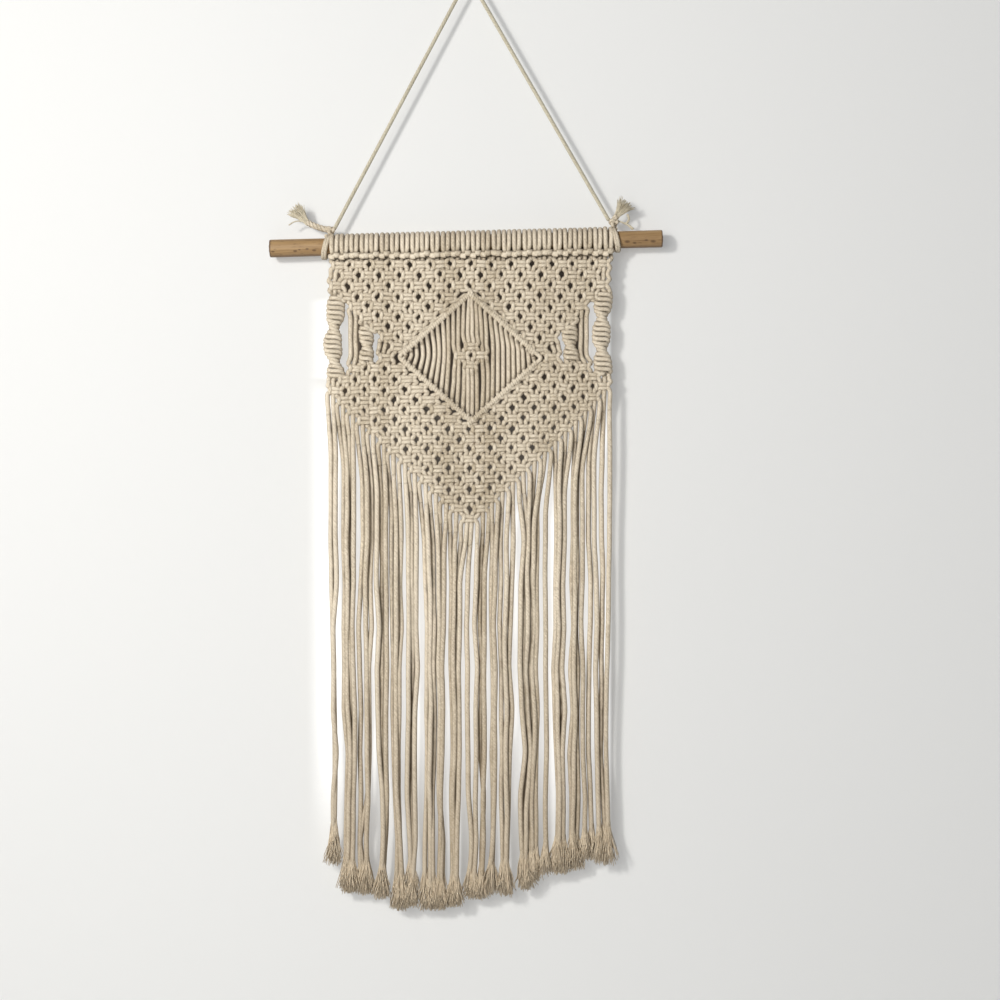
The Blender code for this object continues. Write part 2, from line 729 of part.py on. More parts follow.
def add_tie(row, group, cutters, material):
    """One tied end of the hanging cord: a turn round the dowel, the knot and the frayed tail."""
    side, ring_x, knot_x, knot_z, tail = row
    name = "hanger_tie_" + side
    major = DOWEL_RADIUS + GAP + TIE_RING_RADIUS
    turn = Vector((0.0, 0.0, 1.0)).rotation_difference(dowel_direction())
    axis_x = turn @ Vector((1.0, 0.0, 0.0))
    axis_y = turn @ Vector((0.0, 1.0, 0.0))
    middle = Vector((ring_x, 0.0, dowel_z(ring_x)))
    circle = [middle + major * (math.cos(a) * axis_x + math.sin(a) * axis_y)
              for a in np.arange(16) * 2.0 * math.pi / 16]
    ring = tube(name, circle, TIE_RING_RADIUS, group, material, resolution=1, cyclic=True)
    joined = bpy.data.collections.new(name + "_joined")
    cutters.children.link(joined)
    shape = bmesh.new()
    bmesh.ops.create_uvsphere(shape, u_segments=10, v_segments=8, radius=1.0)
    bmesh.ops.scale(shape, vec=TIE_KNOT_HALF_SIZE, verts=shape.verts)
    bmesh.ops.translate(shape, vec=(knot_x, HANGER_Y, knot_z), verts=shape.verts)
    mesh = bpy.data.meshes.new(name + "_knot")
    shape.to_mesh(mesh)
    shape.free()
    knot = new_object(name + "_knot", mesh, joined, material)
    as_cutter(knot, joined)
    places = np.array([(x, z) for x, z, _, _ in tail])
    slopes = np.gradient(places, axis=0)
    rings = []
    for (x, z, half_width, half_depth), slope in zip(tail, slopes):
        slope = slope / np.linalg.norm(slope)
        across = np.array((-slope[1], 0.0, slope[0])) * half_width
        along = np.array((0.0, half_depth, 0.0))
        rings.append(ellipse_ring((x, HANGER_Y, z), across, along, 6))
    end = loft(name + "_tail", rings, joined, material)
    as_cutter(end, joined)
    union(ring, joined)
    return ring


def main():
    """Build every piece of the wall hanging."""
    clear_scene()
    pieces = new_collection("macrame_wall_hanging")
    cutters = new_collection("joined_shapes")
    cotton = new_material("natural_cotton", COTTON, 0.92)
    hanger_cotton = new_material("hanger_cotton", HANGER_COTTON, 0.88)
    wood = new_material("dowel_wood", WOOD, 0.62)

    add_dowel(pieces, wood)
    add_heading(pieces, cutters, cotton)
    net("upper_net", UPPER_ROWS, pieces, cotton)
    net("lower_net", LOWER_ROWS, pieces, cotton)
    add_diamond(pieces, cutters, cotton)
    for row in SINNETS:
        add_sinnet(row, pieces, cotton)
    for name, top_x, top_z, bottom_x, bottom_z in PLAIN_CORDS:
        ends = [(top_x, NET_Y, top_z), (bottom_x, NET_Y, bottom_z)]
        tube(name, ends, PLAIN_CORD_RADIUS, pieces, cotton, resolution=1)
    for side in (-1, 1):
        add_fringe(side, pieces, cutters, cotton)
    add_hanger(pieces, hanger_cotton)
    for row in TIES:
        add_tie(row, pieces, cutters, hanger_cotton)


main()
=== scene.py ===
"""Looks of a macrame wall hanging: fifty-six knotted cotton cords on a wooden dowel.

Metres, +Z up, +X to the right, +Y away from the viewer.  The origin is the top of the bend where
the hanging cord passes over its nail.  Every cotton cord is one route of points that runs through
its lark's head, its square knots, the diamond or a sinnet, and ends in a frayed brush.
"""
import logging
import math
from dataclasses import dataclass, field
from enum import Enum, IntEnum

import bpy
import numpy as np
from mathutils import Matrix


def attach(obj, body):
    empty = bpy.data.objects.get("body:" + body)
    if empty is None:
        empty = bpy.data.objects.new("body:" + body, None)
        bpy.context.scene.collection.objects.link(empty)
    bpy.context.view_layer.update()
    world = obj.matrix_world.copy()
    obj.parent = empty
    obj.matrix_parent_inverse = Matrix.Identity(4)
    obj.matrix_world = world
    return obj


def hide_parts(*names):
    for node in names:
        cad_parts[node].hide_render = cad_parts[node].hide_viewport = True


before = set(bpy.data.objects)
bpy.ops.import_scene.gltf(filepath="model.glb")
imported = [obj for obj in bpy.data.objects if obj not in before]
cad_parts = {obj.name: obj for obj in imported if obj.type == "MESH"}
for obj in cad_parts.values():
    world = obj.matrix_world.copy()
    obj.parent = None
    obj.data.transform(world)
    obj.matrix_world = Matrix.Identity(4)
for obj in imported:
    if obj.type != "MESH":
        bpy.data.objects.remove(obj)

Array = np.ndarray
Item = bpy.types.Object
Flat = tuple[float, float]
Colour = tuple[float, float, float, float]
Socket = bpy.types.NodeSocket
log = logging.getLogger("wall_hanging")
MM = 0.001
TURN = 2.0 * math.pi


# ---------------------------------------------------------------- routes and tubes

def smooth(share: Array) -> Array:
    """A share from 0 to 1 that starts and ends level."""
    return share * share * (3.0 - 2.0 * share)


def unit(vectors: Array) -> Array:
    """Vectors of length one in the same directions, (..., 3)."""
    return vectors / np.linalg.norm(vectors, axis=-1, keepdims=True)


def run_along(line: Array) -> Array:
    """Distance of each point from the line's start, (n,), for points (n, 3)."""
    return np.concatenate(([0.0], np.cumsum(np.linalg.norm(np.diff(line, axis=0), axis=1))))


def curve_through(points: Array, labels: Array, steps: Array,
                  girths: Array) -> tuple[Array, Array, Array, Array]:
    """Smooth curve through control points, resampled at steps that each label sets.

    Centripetal Catmull-Rom: between two points the curve is the blend of three straight-line
    interpolations, with parameters spaced by the square root of the distance between points.

    Args:
        points: Control points, (n, 3).
        labels: The label of the stretch that starts at each point, (n,).
        steps: For each label, the distance between stations.
        girths: How thick the cord is at each point, (n,).

    Returns:
        Stations (m, 3), their labels (m,), distances along the curve (m,) and girths (m,).
    """
    kept = np.concatenate(([True], np.linalg.norm(np.diff(points, axis=0), axis=1) > 1e-5))
    points, labels, girths = points[kept], labels[kept], girths[kept]
    padded = np.vstack((2 * points[0] - points[1], points, 2 * points[-1] - points[-2]))
    gaps = np.sqrt(np.linalg.norm(np.diff(padded, axis=0), axis=1))[:, None, None]
    p = [padded[i:len(padded) - 3 + i, None, :] for i in range(4)]
    t1 = gaps[:-2]
    t2 = t1 + gaps[1:-1]
    times = (0.0, t1, t2, t2 + gaps[2:])
    t = t1 + (np.arange(6) / 6.0)[None, :, None] * (t2 - t1)

    def blend(first: Array, second: Array, start: Array, end: Array) -> Array:
        """Straight-line interpolation between two values at two times."""
        return (end - t) / (end - start) * first + (t - start) / (end - start) * second

    a = [blend(p[k], p[k + 1], times[k], times[k + 1]) for k in range(3)]
    b = [blend(a[k], a[k + 1], times[k], times[k + 2]) for k in range(2)]
    fine = np.vstack((blend(*b, t1, t2).reshape(-1, 3), points[-1]))
    index = np.concatenate((np.arange(len(fine) - 1) / 6.0, [len(points) - 1.0]))
    run = run_along(fine)
    lengths = np.linalg.norm(np.diff(fine, axis=0), axis=1)
    label = labels[np.minimum(np.floor(index[:-1] + 1e-6).astype(int), len(labels) - 1)]
    pace = np.concatenate(([0.0], np.cumsum(lengths / steps[label])))
    even = np.linspace(0.0, pace[-1], max(3, int(round(pace[-1])) + 1))
    stations = np.stack([np.interp(even, pace, fine[:, k]) for k in range(3)], axis=1)
    where = np.interp(even, pace, index)
    at = np.minimum(np.floor(where + 1e-6).astype(int), len(labels) - 1)
    girth = np.interp(where, np.arange(len(points)), girths)
    return stations, labels[at], np.interp(even, pace, run), girth


def even_line(points: Array, step: float) -> Array:
    """Smooth line through points, at even steps."""
    return curve_through(np.asarray(points, float), np.zeros(len(points), int),
                         np.array((step,)), np.ones(len(points)))[0]


def mirrored(vector: Array, across: Array) -> Array:
    """Vectors reflected across the planes that stand square to some others, (n, 3)."""
    size = np.sum(across * across, axis=1, keepdims=True) + 1e-18
    return vector - 2.0 / size * np.sum(across * vector, axis=1, keepdims=True) * across


def carried_frames(stations: Array) -> tuple[Array, Array]:
    """Frames that turn as little as possible along many routes at once.

    Each frame is the one before it, reflected across the plane midway between two stations and
    then across the plane that brings the reflected tangent onto the new one.

    Args:
        stations: Points of equally many stations per route, (routes, stations, 3).

    Returns:
        Normals and binormals, each (routes, stations, 3).
    """
    tangents = np.gradient(stations, axis=1)
    tangents /= np.linalg.norm(tangents, axis=2, keepdims=True) + 1e-12
    normals = np.zeros_like(stations)
    aside = np.array((1.0, 0.13, 0.07))
    aside = aside - tangents[:, 0] * (tangents[:, 0] @ aside)[:, None]
    normals[:, 0] = aside / (np.linalg.norm(aside, axis=1, keepdims=True) + 1e-12)
    for index in range(stations.shape[1] - 1):
        across = stations[:, index + 1] - stations[:, index]
        normal, tangent = (mirrored(v[:, index], across) for v in (normals, tangents))
        normals[:, index + 1] = mirrored(normal, tangents[:, index + 1] - tangent)
    return normals, np.cross(tangents, normals)


class Crowding:
    """How much cord lies round any point, from a blurred count on a grid of small boxes."""

    def __init__(self, stations: Array, weights: Array, box: float = 1.0 * MM,
                 blur: float = 1.6 * MM, margin: float = 8.0 * MM) -> None:
        """Count the cords' stations into boxes, and spread each count as a bell curve.

        Args:
            stations: Points of all cords' axes, (n, 3).
            weights: Length of cord that each stands for, (n,).
            box: Side of a box.
            blur: Standard deviation of the bell curve.
            margin: Room round the work.
        """
        self.box = box
        self.low = stations.min(axis=0) - margin
        shape = np.ceil((stations.max(axis=0) + margin - self.low) / box).astype(int) + 1
        index = np.round((stations - self.low) / box).astype(int)
        count = np.bincount(np.ravel_multi_index(tuple(index.T), tuple(shape)),
                            weights / box, int(np.prod(shape))).reshape(shape)
        reach = int(math.ceil(2.5 * blur / box))
        bell = np.exp(-0.5 * (np.arange(-reach, reach + 1) * box / blur) ** 2)
        bell /= bell.sum()
        for axis in range(3):
            padded = np.pad(count, [(reach, reach) if k == axis else (0, 0) for k in range(3)])
            size = count.shape[axis]
            count = sum(share * np.take(padded, np.arange(start, start + size), axis=axis)
                        for start, share in enumerate(bell))
        self.count = count

    def at(self, points: Array) -> Array:
        """The blurred count at points, (n, 3), blended between the eight boxes round each."""
        place = (points - self.low) / self.box
        whole = np.clip(np.floor(place).astype(int), 0, np.array(self.count.shape) - 2)
        part = np.clip(place - whole, 0.0, 1.0)
        total = np.zeros(len(points))
        for corner in range(8):
            step = np.array((corner & 1, corner >> 1 & 1, corner >> 2 & 1))
            share = np.prod(np.where(step == 1, part, 1.0 - part), axis=1)
            total += share * self.count[tuple((whole + step).T)]
        return total

    def crevice(self, rings: Array, reach: float = 1.6 * MM, own: float = 0.007,
                span: float = 0.05) -> Array:
        """How closed in each point of some rings is: the count a short way outside the cord.

        Args:
            rings: (rings, sides, 3).
            reach: Distance outwards.
            own: The count that a cord gives by itself.
            span: How much more than that is fully closed in.

        Returns:
            Shares from 0 to 1, (rings * sides,).
        """
        # the share sets painted shade where cords crowd together, in place of the light they shut
        # out
        out = rings - rings.mean(axis=1, keepdims=True)
        out /= np.linalg.norm(out, axis=2, keepdims=True) + 1e-9
        count = self.at((rings + reach * out).reshape(-1, 3))
        return np.clip((count - own) / span, 0.0, 1.0)


@dataclass
class Tubes:
    """Rings of points gathered from many routes, on their way to becoming one mesh.

    Attributes:
        sides: Points of each ring.
        rings: For each tube its rings, (n, sides, 3).
        along: Its v, (n,).
        shades: Its tone, 0 to 1.
        shut: Share of the painted shade in crevices that each ring takes, (n,).
    """

    sides: int = 8
    rings: list[Array] = field(default_factory=list)
    along: list[Array] = field(default_factory=list)
    shades: list[float] = field(default_factory=list)
    shut: list[Array] = field(default_factory=list)

    def add_rings(self, rings: Array, along: Array, shade: float = 0.5,
                  shut: Array | float = 1.0) -> None:
        """Add one tube by its rings; the arguments are as the attributes say."""
        self.rings.append(rings)
        self.along.append(along)
        self.shades.append(float(shade))
        self.shut.append(np.broadcast_to(shut, len(rings)))

    def add(self, stations: Array, normals: Array, binormals: Array, radii: Array, run: Array,
            shade: float, shut: Array | float = 1.0) -> None:
        """Add one tube: a circle of the given radius in every station's normal plane.

        A ring is the station plus radius times (cosine of the turn along the normal plus sine of
        the turn along the binormal); u runs once round it and v counts the circumferences passed.

        Args:
            stations: Points of the tube's axis, (n, 3).
            normals: First axis of each ring, (n, 3).
            binormals: Second axis of each ring, (n, 3).
            radii: Radius at each station, (n,).
            run: Distance of each station from the start of its cord, (n,).
            shade: Tone of the cord, 0 to 1.
            shut: Share of the painted shade in crevices that each station takes.
        """
        turn = np.arange(self.sides) * TURN / self.sides
        circle = (np.cos(turn)[None, :, None] * normals[:, None, :]
                  + np.sin(turn)[None, :, None] * binormals[:, None, :])
        self.add_rings(stations[:, None, :] + radii[:, None, None] * circle,
                       run / (TURN * max(float(np.max(radii)), 1e-5)), shade, shut)

    def add_all(self, lines: Array, radii: Array | float, shades: Array | float = 0.5) -> None:
        """Add equally long tubes, one for each route.

        Args:
            lines: (routes, stations, 3).
            radii: One radius for all, or (routes, stations).
            shades: One tone for all, or one a route.
        """
        normals, binormals = carried_frames(lines)
        steps = np.linalg.norm(np.diff(lines, axis=1), axis=2)
        runs = np.concatenate((np.zeros((len(lines), 1)), np.cumsum(steps, axis=1)), axis=1)
        radii = np.broadcast_to(radii, lines.shape[:2])
        for each in zip(lines, normals, binormals, radii, runs,
                        np.broadcast_to(shades, len(lines))):
            self.add(*each)

    def mesh(self, name: str, crowd: Crowding | None = None, weight: float = 1.0) -> Item:
        """Make one mesh object of the tubes, with capped ends, a UV map and a tone attribute.

        Args:
            name: The object's name.
            crowd: If given, how crowded the work is; it sets the attribute of painted shade.
            weight: How strongly it does so.

        Returns:
            The new object, linked to the scene.
        """
        sides = self.sides
        points = np.concatenate(self.rings).reshape(-1, 3)
        lengths = np.array([len(rings) for rings in self.rings])
        ends = np.cumsum(lengths)
        first = np.delete(np.arange(ends[-1]), ends - 1)
        side = np.arange(sides)
        after = (side + 1) % sides
        base = first[:, None] * sides
        quads = np.stack((base + side, base + after, base + sides + after, base + sides + side),
                         axis=2).reshape(-1, 4)
        caps = np.vstack(((ends - lengths)[:, None] * sides + side[::-1],
                          (ends - 1)[:, None] * sides + side))
        along = np.concatenate(self.along)
        low, high = along[first], along[first + 1]
        u = np.tile(side / sides, len(first))[:, None] + np.array((0.0, 1.0, 1.0, 0.0)) / sides
        v = np.repeat(np.stack((low, low, high, high), axis=1), sides, axis=0)
        uv = np.vstack((np.stack((u, v), axis=2).reshape(-1, 2), np.zeros((caps.size, 2))))
        mesh = bpy.data.meshes.new(name)
        mesh.vertices.add(len(points))
        mesh.vertices.foreach_set("co", points.astype(np.float32).ravel())
        corners = np.concatenate((quads.ravel(), caps.ravel()))
        mesh.loops.add(len(corners))
        mesh.loops.foreach_set("vertex_index", corners.astype(np.int32))
        begins = np.concatenate((np.arange(len(quads)) * 4,
                                 quads.size + np.arange(len(caps)) * sides))
        mesh.polygons.add(len(begins))
        mesh.polygons.foreach_set("loop_start", begins.astype(np.int32))
        mesh.update(calc_edges=True)
        mesh.polygons.foreach_set("use_smooth", np.arange(len(begins)) < len(quads))
        mesh.uv_layers.new(name="cord").data.foreach_set("uv", uv.astype(np.float32).ravel())
        values = {"tone": np.repeat(self.shades, lengths * sides)}
        # painted shade where the cords crowd together, kept as a point attribute for the colour
        if crowd is not None:
            values["crevice"] = weight * crowd.crevice(points.reshape(-1, sides, 3)) * np.repeat(
                np.concatenate(self.shut), sides)
        for key, value in values.items():
            mesh.attributes.new(key, "FLOAT", "POINT").data.foreach_set(
                "value", value.astype(np.float32))
        mesh.validate()
        return as_object(name, mesh)


def as_object(name: str, data: bpy.types.ID) -> Item:
    """Link a mesh, a lamp or a camera to the scene as an object at the origin."""
    item = bpy.data.objects.new(name, data)
    bpy.context.scene.collection.objects.link(item)
    return item


# ---------------------------------------------------------------- where things are

class Part(IntEnum):
    """The stretch of work that a piece of cord belongs to."""

    HEADING = 0
    UPPER_NET = 1
    LOWER_NET = 2
    DIAMOND = 3
    SINNET_OUTER_LEFT = 4
    SINNET_OUTER_RIGHT = 5
    SINNET_INNER_LEFT = 6
    SINNET_INNER_RIGHT = 7
    PLAIN_LEFT = 8
    PLAIN_RIGHT = 9
    FRINGE = 10


@dataclass(frozen=True)
class Layout:
    """Sizes that every part of the work shares, metres.

    Attributes:
        cords: How many cords there are, counted from the left edge.
        pitch: Width of one cord in the heading.
        left: x of the heading's left edge.
        net_y: Depth of the knots.
        dowel_radius: Radius of the dowel.
        dowel_left, dowel_right: (x, z) of the two ends of its axis.
        bar_left_z, bar_right_z: Height of the lark's head bars at the two edges.
        first_fringe_row: Last row of full width; each row below it is four cords narrower.
        last_row: The lowest row.
        rows: Where some rows of knots lie: row, x and z at the left edge, x and z at the right.
        push: How far knots below the diamond's corners stand out: cords from the edge, distance.
        fade: How much of that push some rows take.
        inner_rows: Rows beside the diamond: row, first cord of the outermost knot, first cord of
            the knot beside the diamond.
    """

    cords: int = 56
    pitch: float = 0.003924
    left: float = -0.1079
    net_y: float = -0.0035
    dowel_radius: float = 0.00685
    dowel_left: Flat = (-0.1543, -0.2041)
    dowel_right: Flat = (0.1506, -0.1964)
    bar_left_z: float = -0.2111
    bar_right_z: float = -0.2077
    first_fringe_row: int = 13
    last_row: int = 26
    rows: tuple[tuple[float, ...], ...] = (
        (1, -0.1079, -0.2176, 0.1115, -0.2161), (4, -0.1094, -0.2420, 0.1100, -0.2413),
        (9, -0.1091, -0.2807, 0.1100, -0.2815), (13, -0.1102, -0.3148, 0.1108, -0.3113),
        (26, -0.1094, -0.4146, 0.1111, -0.4123))
    push: tuple[Flat, ...] = (
        (0.0, 0.0), (4.0, 0.0009), (8.0, 0.0018), (12.0, 0.0026), (17.0, 0.0028), (26.0, 0.0))
    fade: tuple[Flat, ...] = ((9.0, 0.0), (11.0, 1.0), (15.0, 1.0), (20.0, 0.4), (25.0, 0.0))
    inner_rows: tuple[tuple[int, int, int], ...] = (
        (4, 2, 22), (5, 4, 20), (6, 6, 18), (7, 8, 16), (8, 10, 14), (9, 12, 12),
        (10, 10, 10), (11, 4, 12), (12, 2, 14), (13, 0, 16), (14, 2, 18), (15, 4, 20),
        (16, 6, 22))

    def dowel_z(self, x: float) -> float:
        """Height of the dowel's axis at x."""
        (x0, z0), (x1, z1) = self.dowel_left, self.dowel_right
        return z0 + (z1 - z0) * (x - x0) / (x1 - x0)

    def bar_z(self, x: float) -> float:
        """Height of the row of lark's head bars at x."""
        share = (x - self.left) / (self.cords * self.pitch)
        return self.bar_left_z + share * (self.bar_right_z - self.bar_left_z)

    def place(self, cord: float, row: float) -> Array:
        """(x, z) of a point counted in cord widths from the left edge and in knot rows."""
        rows, *edges = zip(*self.rows)
        left_x, left_z, right_x, right_z = (np.interp(row, rows, edge) for edge in edges)
        share = cord / self.cords
        x = (1 - share) * left_x + share * right_x
        z = (1 - share) * left_z + share * right_z
        spread = np.interp(min(cord, self.cords - cord), *zip(*self.push)) * np.interp(
            row, *zip(*self.fade))
        return np.array((x + (-spread if cord < self.cords / 2 else 1.25 * spread), z))

    def knot_rows(self) -> dict[int, list[int]]:
        """First cord of every square knot, row by row; the right half mirrors the left."""
        last = self.cords - 4
        table = {1: range(0, last + 1, 4), 2: range(2, last - 1, 4), 3: range(0, last + 1, 4)}
        for row, outer, beside in self.inner_rows:
            left = list(range(outer, beside + 1, 4))
            table[row] = left + [last - cord for cord in left]
        for row in range(17, self.last_row + 1):
            outer = 2 * (row - self.first_fringe_row)
            table[row] = range(outer, last - outer + 1, 4)
        return {row: sorted(first) for row, first in table.items()}


class Routes:
    """The control points of every cord, in order from its lark's head to its tip."""

    def __init__(self, layout: Layout) -> None:
        """Start one empty route a cord, and set how far apart each part's stations are."""
        self.layout = layout
        self.steps = np.full(len(Part), 0.9 * MM)
        self.steps[Part.DIAMOND] = 0.6 * MM
        self.steps[Part.LOWER_NET] = 1.0 * MM
        self.steps[Part.FRINGE] = 2.2 * MM
        self.points: list[list[tuple[float, float, float]]] = [[] for _ in range(layout.cords)]
        self.parts: list[list[int]] = [[] for _ in range(layout.cords)]
        self.girths: list[list[float]] = [[] for _ in range(layout.cords)]
        self.cuts: list[list[tuple[int, Array, Array, Array, Array, Array]]] = []
        self.crowd: Crowding | None = None

    def add(self, cord: int, part: Part, points: Array, girth: float | Array = 1.0) -> None:
        """Carry one cord on through some points, (n, 3), that belong to a part.

        Args:
            cord: The cord.
            part: The part.
            points: The points.
            girth: How thick the cord is there, as a share of the part's usual radius.
        """
        self.points[cord] += [tuple(p) for p in np.asarray(points, float)]
        self.parts[cord] += [int(part)] * len(points)
        self.girths[cord] += np.broadcast_to(girth, len(points)).tolist()

    def add_flat(self, cord: int, part: Part, x: Array | float, y: Array | float, z: Array,
                 girth: float | Array = 1.0) -> None:
        """The same by the three coordinates, where x and y may be one value for all."""
        self.add(cord, part, np.stack(np.broadcast_arrays(x, y, z), axis=1), girth)

    def last(self, cord: int) -> Array:
        """The point that a cord has reached."""
        return np.array(self.points[cord][-1])

    def sort(self, cords: tuple[int, ...]) -> None:
        """Give cords whose ends have changed places each other's routes, left to right."""
        order = sorted(cords, key=lambda cord: self.points[cord][-1][0])
        for held in (self.points, self.parts, self.girths):
            for cord, moved in zip(sorted(cords), [held[cord] for cord in order]):
                held[cord] = moved

    def finish(self) -> None:
        """Turn all routes into smooth stations with frames, cut where the part changes."""
        made = [curve_through(np.array(p), np.array(k), self.steps, np.array(g))
                for p, k, g in zip(self.points, self.parts, self.girths)]
        longest = max(len(stations) for stations, *_ in made)
        normals, binormals = carried_frames(np.stack([
            np.vstack((s, np.repeat(s[-1:], longest - len(s), axis=0))) for s, *_ in made]))
        self.crowd = Crowding(np.concatenate([stations for stations, *_ in made]),
                              np.concatenate([np.gradient(run) for _, _, run, _ in made]))
        for cord, (stations, labels, run, girth) in enumerate(made):
            change = np.flatnonzero(np.diff(labels)) + 1
            bounds = np.concatenate(([0], change, [len(labels)]))
            self.cuts.append([])
            for begin, end in zip(bounds[:-1], bounds[1:]):
                own = slice(begin, min(end + 1, len(stations)))
                if own.stop - own.start > 1:
                    self.cuts[cord].append((int(labels[begin]), stations[own],
                                            normals[cord, own], binormals[cord, own],
                                            run[own], girth[own]))

    def gather(self, wanted: Part, radius: float, tones: Array, sides: int = 8) -> Tubes:
        """Tubes of every stretch of cord that belongs to a part.

        Args:
            wanted: The part to take.
            radius: Radius of the cord there.
            tones: One tone a cord.
            sides: Points round the cord.

        Returns:
            The tubes.
        """
        tubes = Tubes(sides=sides)
        for cord, cuts in enumerate(self.cuts):
            for part, stations, normals, binormals, run, girth in cuts:
                if part == wanted:
                    tubes.add(stations, normals, binormals, radius * girth, run, tones[cord],
                              np.interp(girth, (0.75, 0.95), (0.25, 1.0)))
        return tubes


# ---------------------------------------------------------------- lark's heads

@dataclass
class Heading:
    """Lark's heads: each doubled cord lies in a bar below the dowel and wraps up and over it.

    Attributes:
        layout: Shared sizes.
        wrap_radius: Radius of the cord's axis where it goes round the dowel.
        bar_half: Half the length of the bar.
        bar_y: Depth of the bar.
        lean: How far the two turns of one head close up at the bar.
        aslant: How far the last cord's turn leans outwards at its foot.
        stray: Standard deviations of a head's place, its bar's height and tilt, its turns'
            radius and their place.
        tilt: How far a bar's right end usually lies above its middle.
        turns: Turn from the dowel's underside at each point of the wrap, degrees.
        swell: How thick the cord is at the bar's middle and after it.
    """

    layout: Layout
    wrap_radius: float = 8.35 * MM
    bar_half: float = 3.25 * MM
    bar_y: float = -8.3 * MM
    lean: float = 0.75 * MM
    aslant: float = 0.6 * MM
    stray: tuple[float, ...] = (0.22 * MM, 0.35 * MM, 0.3 * MM, 0.15 * MM, 0.25 * MM)
    tilt: float = 0.55 * MM
    turns: tuple[float, ...] = (24.0, 58.0, 94.0, 130.0, 166.0, 202.0, 236.0, 262.0)
    swell: tuple[float, ...] = (1.22, 1.16, 1.06)

    def route(self, routes: Routes, rng: np.random.Generator) -> None:
        """Lead every cord from the middle of its bar round the dowel and behind the bar.

        Round the dowel a cord follows a circle in the plane across the dowel: y is radius times
        the sine and z is minus radius times the cosine of the turn from the dowel's underside.

        Args:
            routes: The routes to start.
            rng: Source of the small irregularities.
        """
        lay, half_bar, front = self.layout, self.bar_half, self.bar_y
        place_by, height_by, tilt_by, radius_by, wander_by = self.stray
        turn = np.radians(self.turns)
        down_share = np.linspace(0.0, 1.0, len(turn))
        for head in range(lay.cords // 2):
            middle = lay.left + (2 * head + 1) * lay.pitch + rng.normal(0.0, place_by)
            droop = rng.normal(0.0, height_by)
            tilt = rng.normal(self.tilt, tilt_by)
            for half, sign in enumerate((-1.0, 1.0)):
                cord = 2 * head + half
                x = middle + sign * 0.5 * lay.pitch
                axis = lay.dowel_z(x)
                bar = lay.bar_z(middle) + droop + sign * tilt
                aslant = self.aslant * (cord == lay.cords - 1)
                radius = self.wrap_radius + abs(rng.normal(0.0, radius_by))
                start = [
                    (middle - sign * 0.5 * MM, front, bar),
                    (middle + sign * 0.72 * half_bar, front + 0.5 * MM, bar + 0.1 * MM),
                    (middle + sign * half_bar, -5.6 * MM, bar + 0.9 * MM),
                    (middle + sign * 0.85 * half_bar, -2.6 * MM, axis - 8.6 * MM)]
                wander = np.linspace(rng.normal(0.0, wander_by), 0.0, len(turn))
                circle = np.stack((x + wander + aslant * down_share, radius * np.sin(turn),
                                   axis - radius * np.cos(turn)), axis=1)
                close = sign * (0.5 * lay.pitch - self.lean)
                down = [(middle + sign * 0.46 * lay.pitch + aslant, -7.9 * MM, axis - 3.2 * MM),
                        (middle + close + 1.5 * aslant, -6.0 * MM, bar + 2.3 * MM),
                        (middle + close, -4.6 * MM, bar + 0.1 * MM),
                        (x, -3.9 * MM, bar - 2.0 * MM)]
                girth = np.ones(len(start) + len(turn) + len(down))
                girth[:len(self.swell)] = self.swell
                routes.add(cord, Part.HEADING, np.vstack((start, circle, down)), girth)


# ---------------------------------------------------------------- square knots

class Role(IntEnum):
    """A cord's place in a square knot."""

    LEFT_WORKER = 0
    LEFT_FILLER = 1
    RIGHT_FILLER = 2
    RIGHT_WORKER = 3


LEFT_WORKER_PATH = (
    (-6.7, -1.5, 3.6), (-5.9, -1.3, 2.8), (-4.6, -0.7, 2.0), (-2.7, -2.2, 1.5),
    (0.0, -2.9, 1.35), (2.3, -2.6, 1.3), (3.7, -1.1, 1.1), (4.3, 0.4, 0.6), (4.4, 0.7, 0.0),
    (4.3, 0.4, -0.6), (3.7, -1.1, -1.1), (2.3, -2.6, -1.35), (0.0, -2.9, -1.4),
    (-2.7, -2.2, -1.55), (-4.6, -0.7, -2.0), (-6.2, -1.5, -3.0))
RIGHT_WORKER_PATH = (
    (6.8, -1.5, 3.5), (5.8, -2.0, 2.6), (5.0, -2.4, 1.6), (4.5, -2.1, 0.8), (4.0, 0.0, 0.6),
    (2.9, 2.1, 0.9), (0.0, 3.3, 1.2), (-2.8, 2.3, 1.7), (-4.1, 0.2, 2.2), (-4.35, -1.8, 2.0),
    (-4.4, -2.7, 0.9), (-4.4, -2.8, 0.0), (-4.4, -2.7, -0.9), (-4.35, -1.8, -2.0),
    (-4.1, 0.2, -2.2), (-2.8, 2.3, -1.7), (0.0, 3.3, -1.2), (2.9, 2.1, -0.9),
    (4.0, 0.0, -0.6), (4.5, -2.1, -0.8), (5.1, -2.4, -1.6), (6.2, -1.8, -2.8))
FILLER_PATH = ((1.95, -1.5, 3.2), (1.6, -0.2, 1.9), (1.55, -0.2, -1.9), (1.65, -1.5, -3.5))
MIRRORED = (-1.0, 1.0, 1.0)
BARS_HALF, BARS_FRONT = 3.4 * MM, -1.6 * MM     # where the bars across the front lie
SQUEEZED = 0.10                                 # and by how much the cord is thinner there
PATHS = {Role.LEFT_WORKER: np.array(LEFT_WORKER_PATH) * MM,
         Role.LEFT_FILLER: np.array(FILLER_PATH) * MIRRORED * MM,
         Role.RIGHT_FILLER: np.array(FILLER_PATH) * MM,
         Role.RIGHT_WORKER: np.array(RIGHT_WORKER_PATH) * MM}
Trim = tuple[tuple[int, int], ...]


@dataclass(frozen=True)
class ByHand:
    """How much square knots differ, as standard deviations.

    Attributes:
        turn: Their turn in the plane of the work, radians.
        size: Their size, as a share.
        shift: Their place.
        depth: How much of that in the depth.
        height: Their height, as a share.
    """

    turn: float = 0.045
    size: float = 0.03
    shift: float = 0.28 * MM
    depth: float = 0.6
    height: float = 0.05


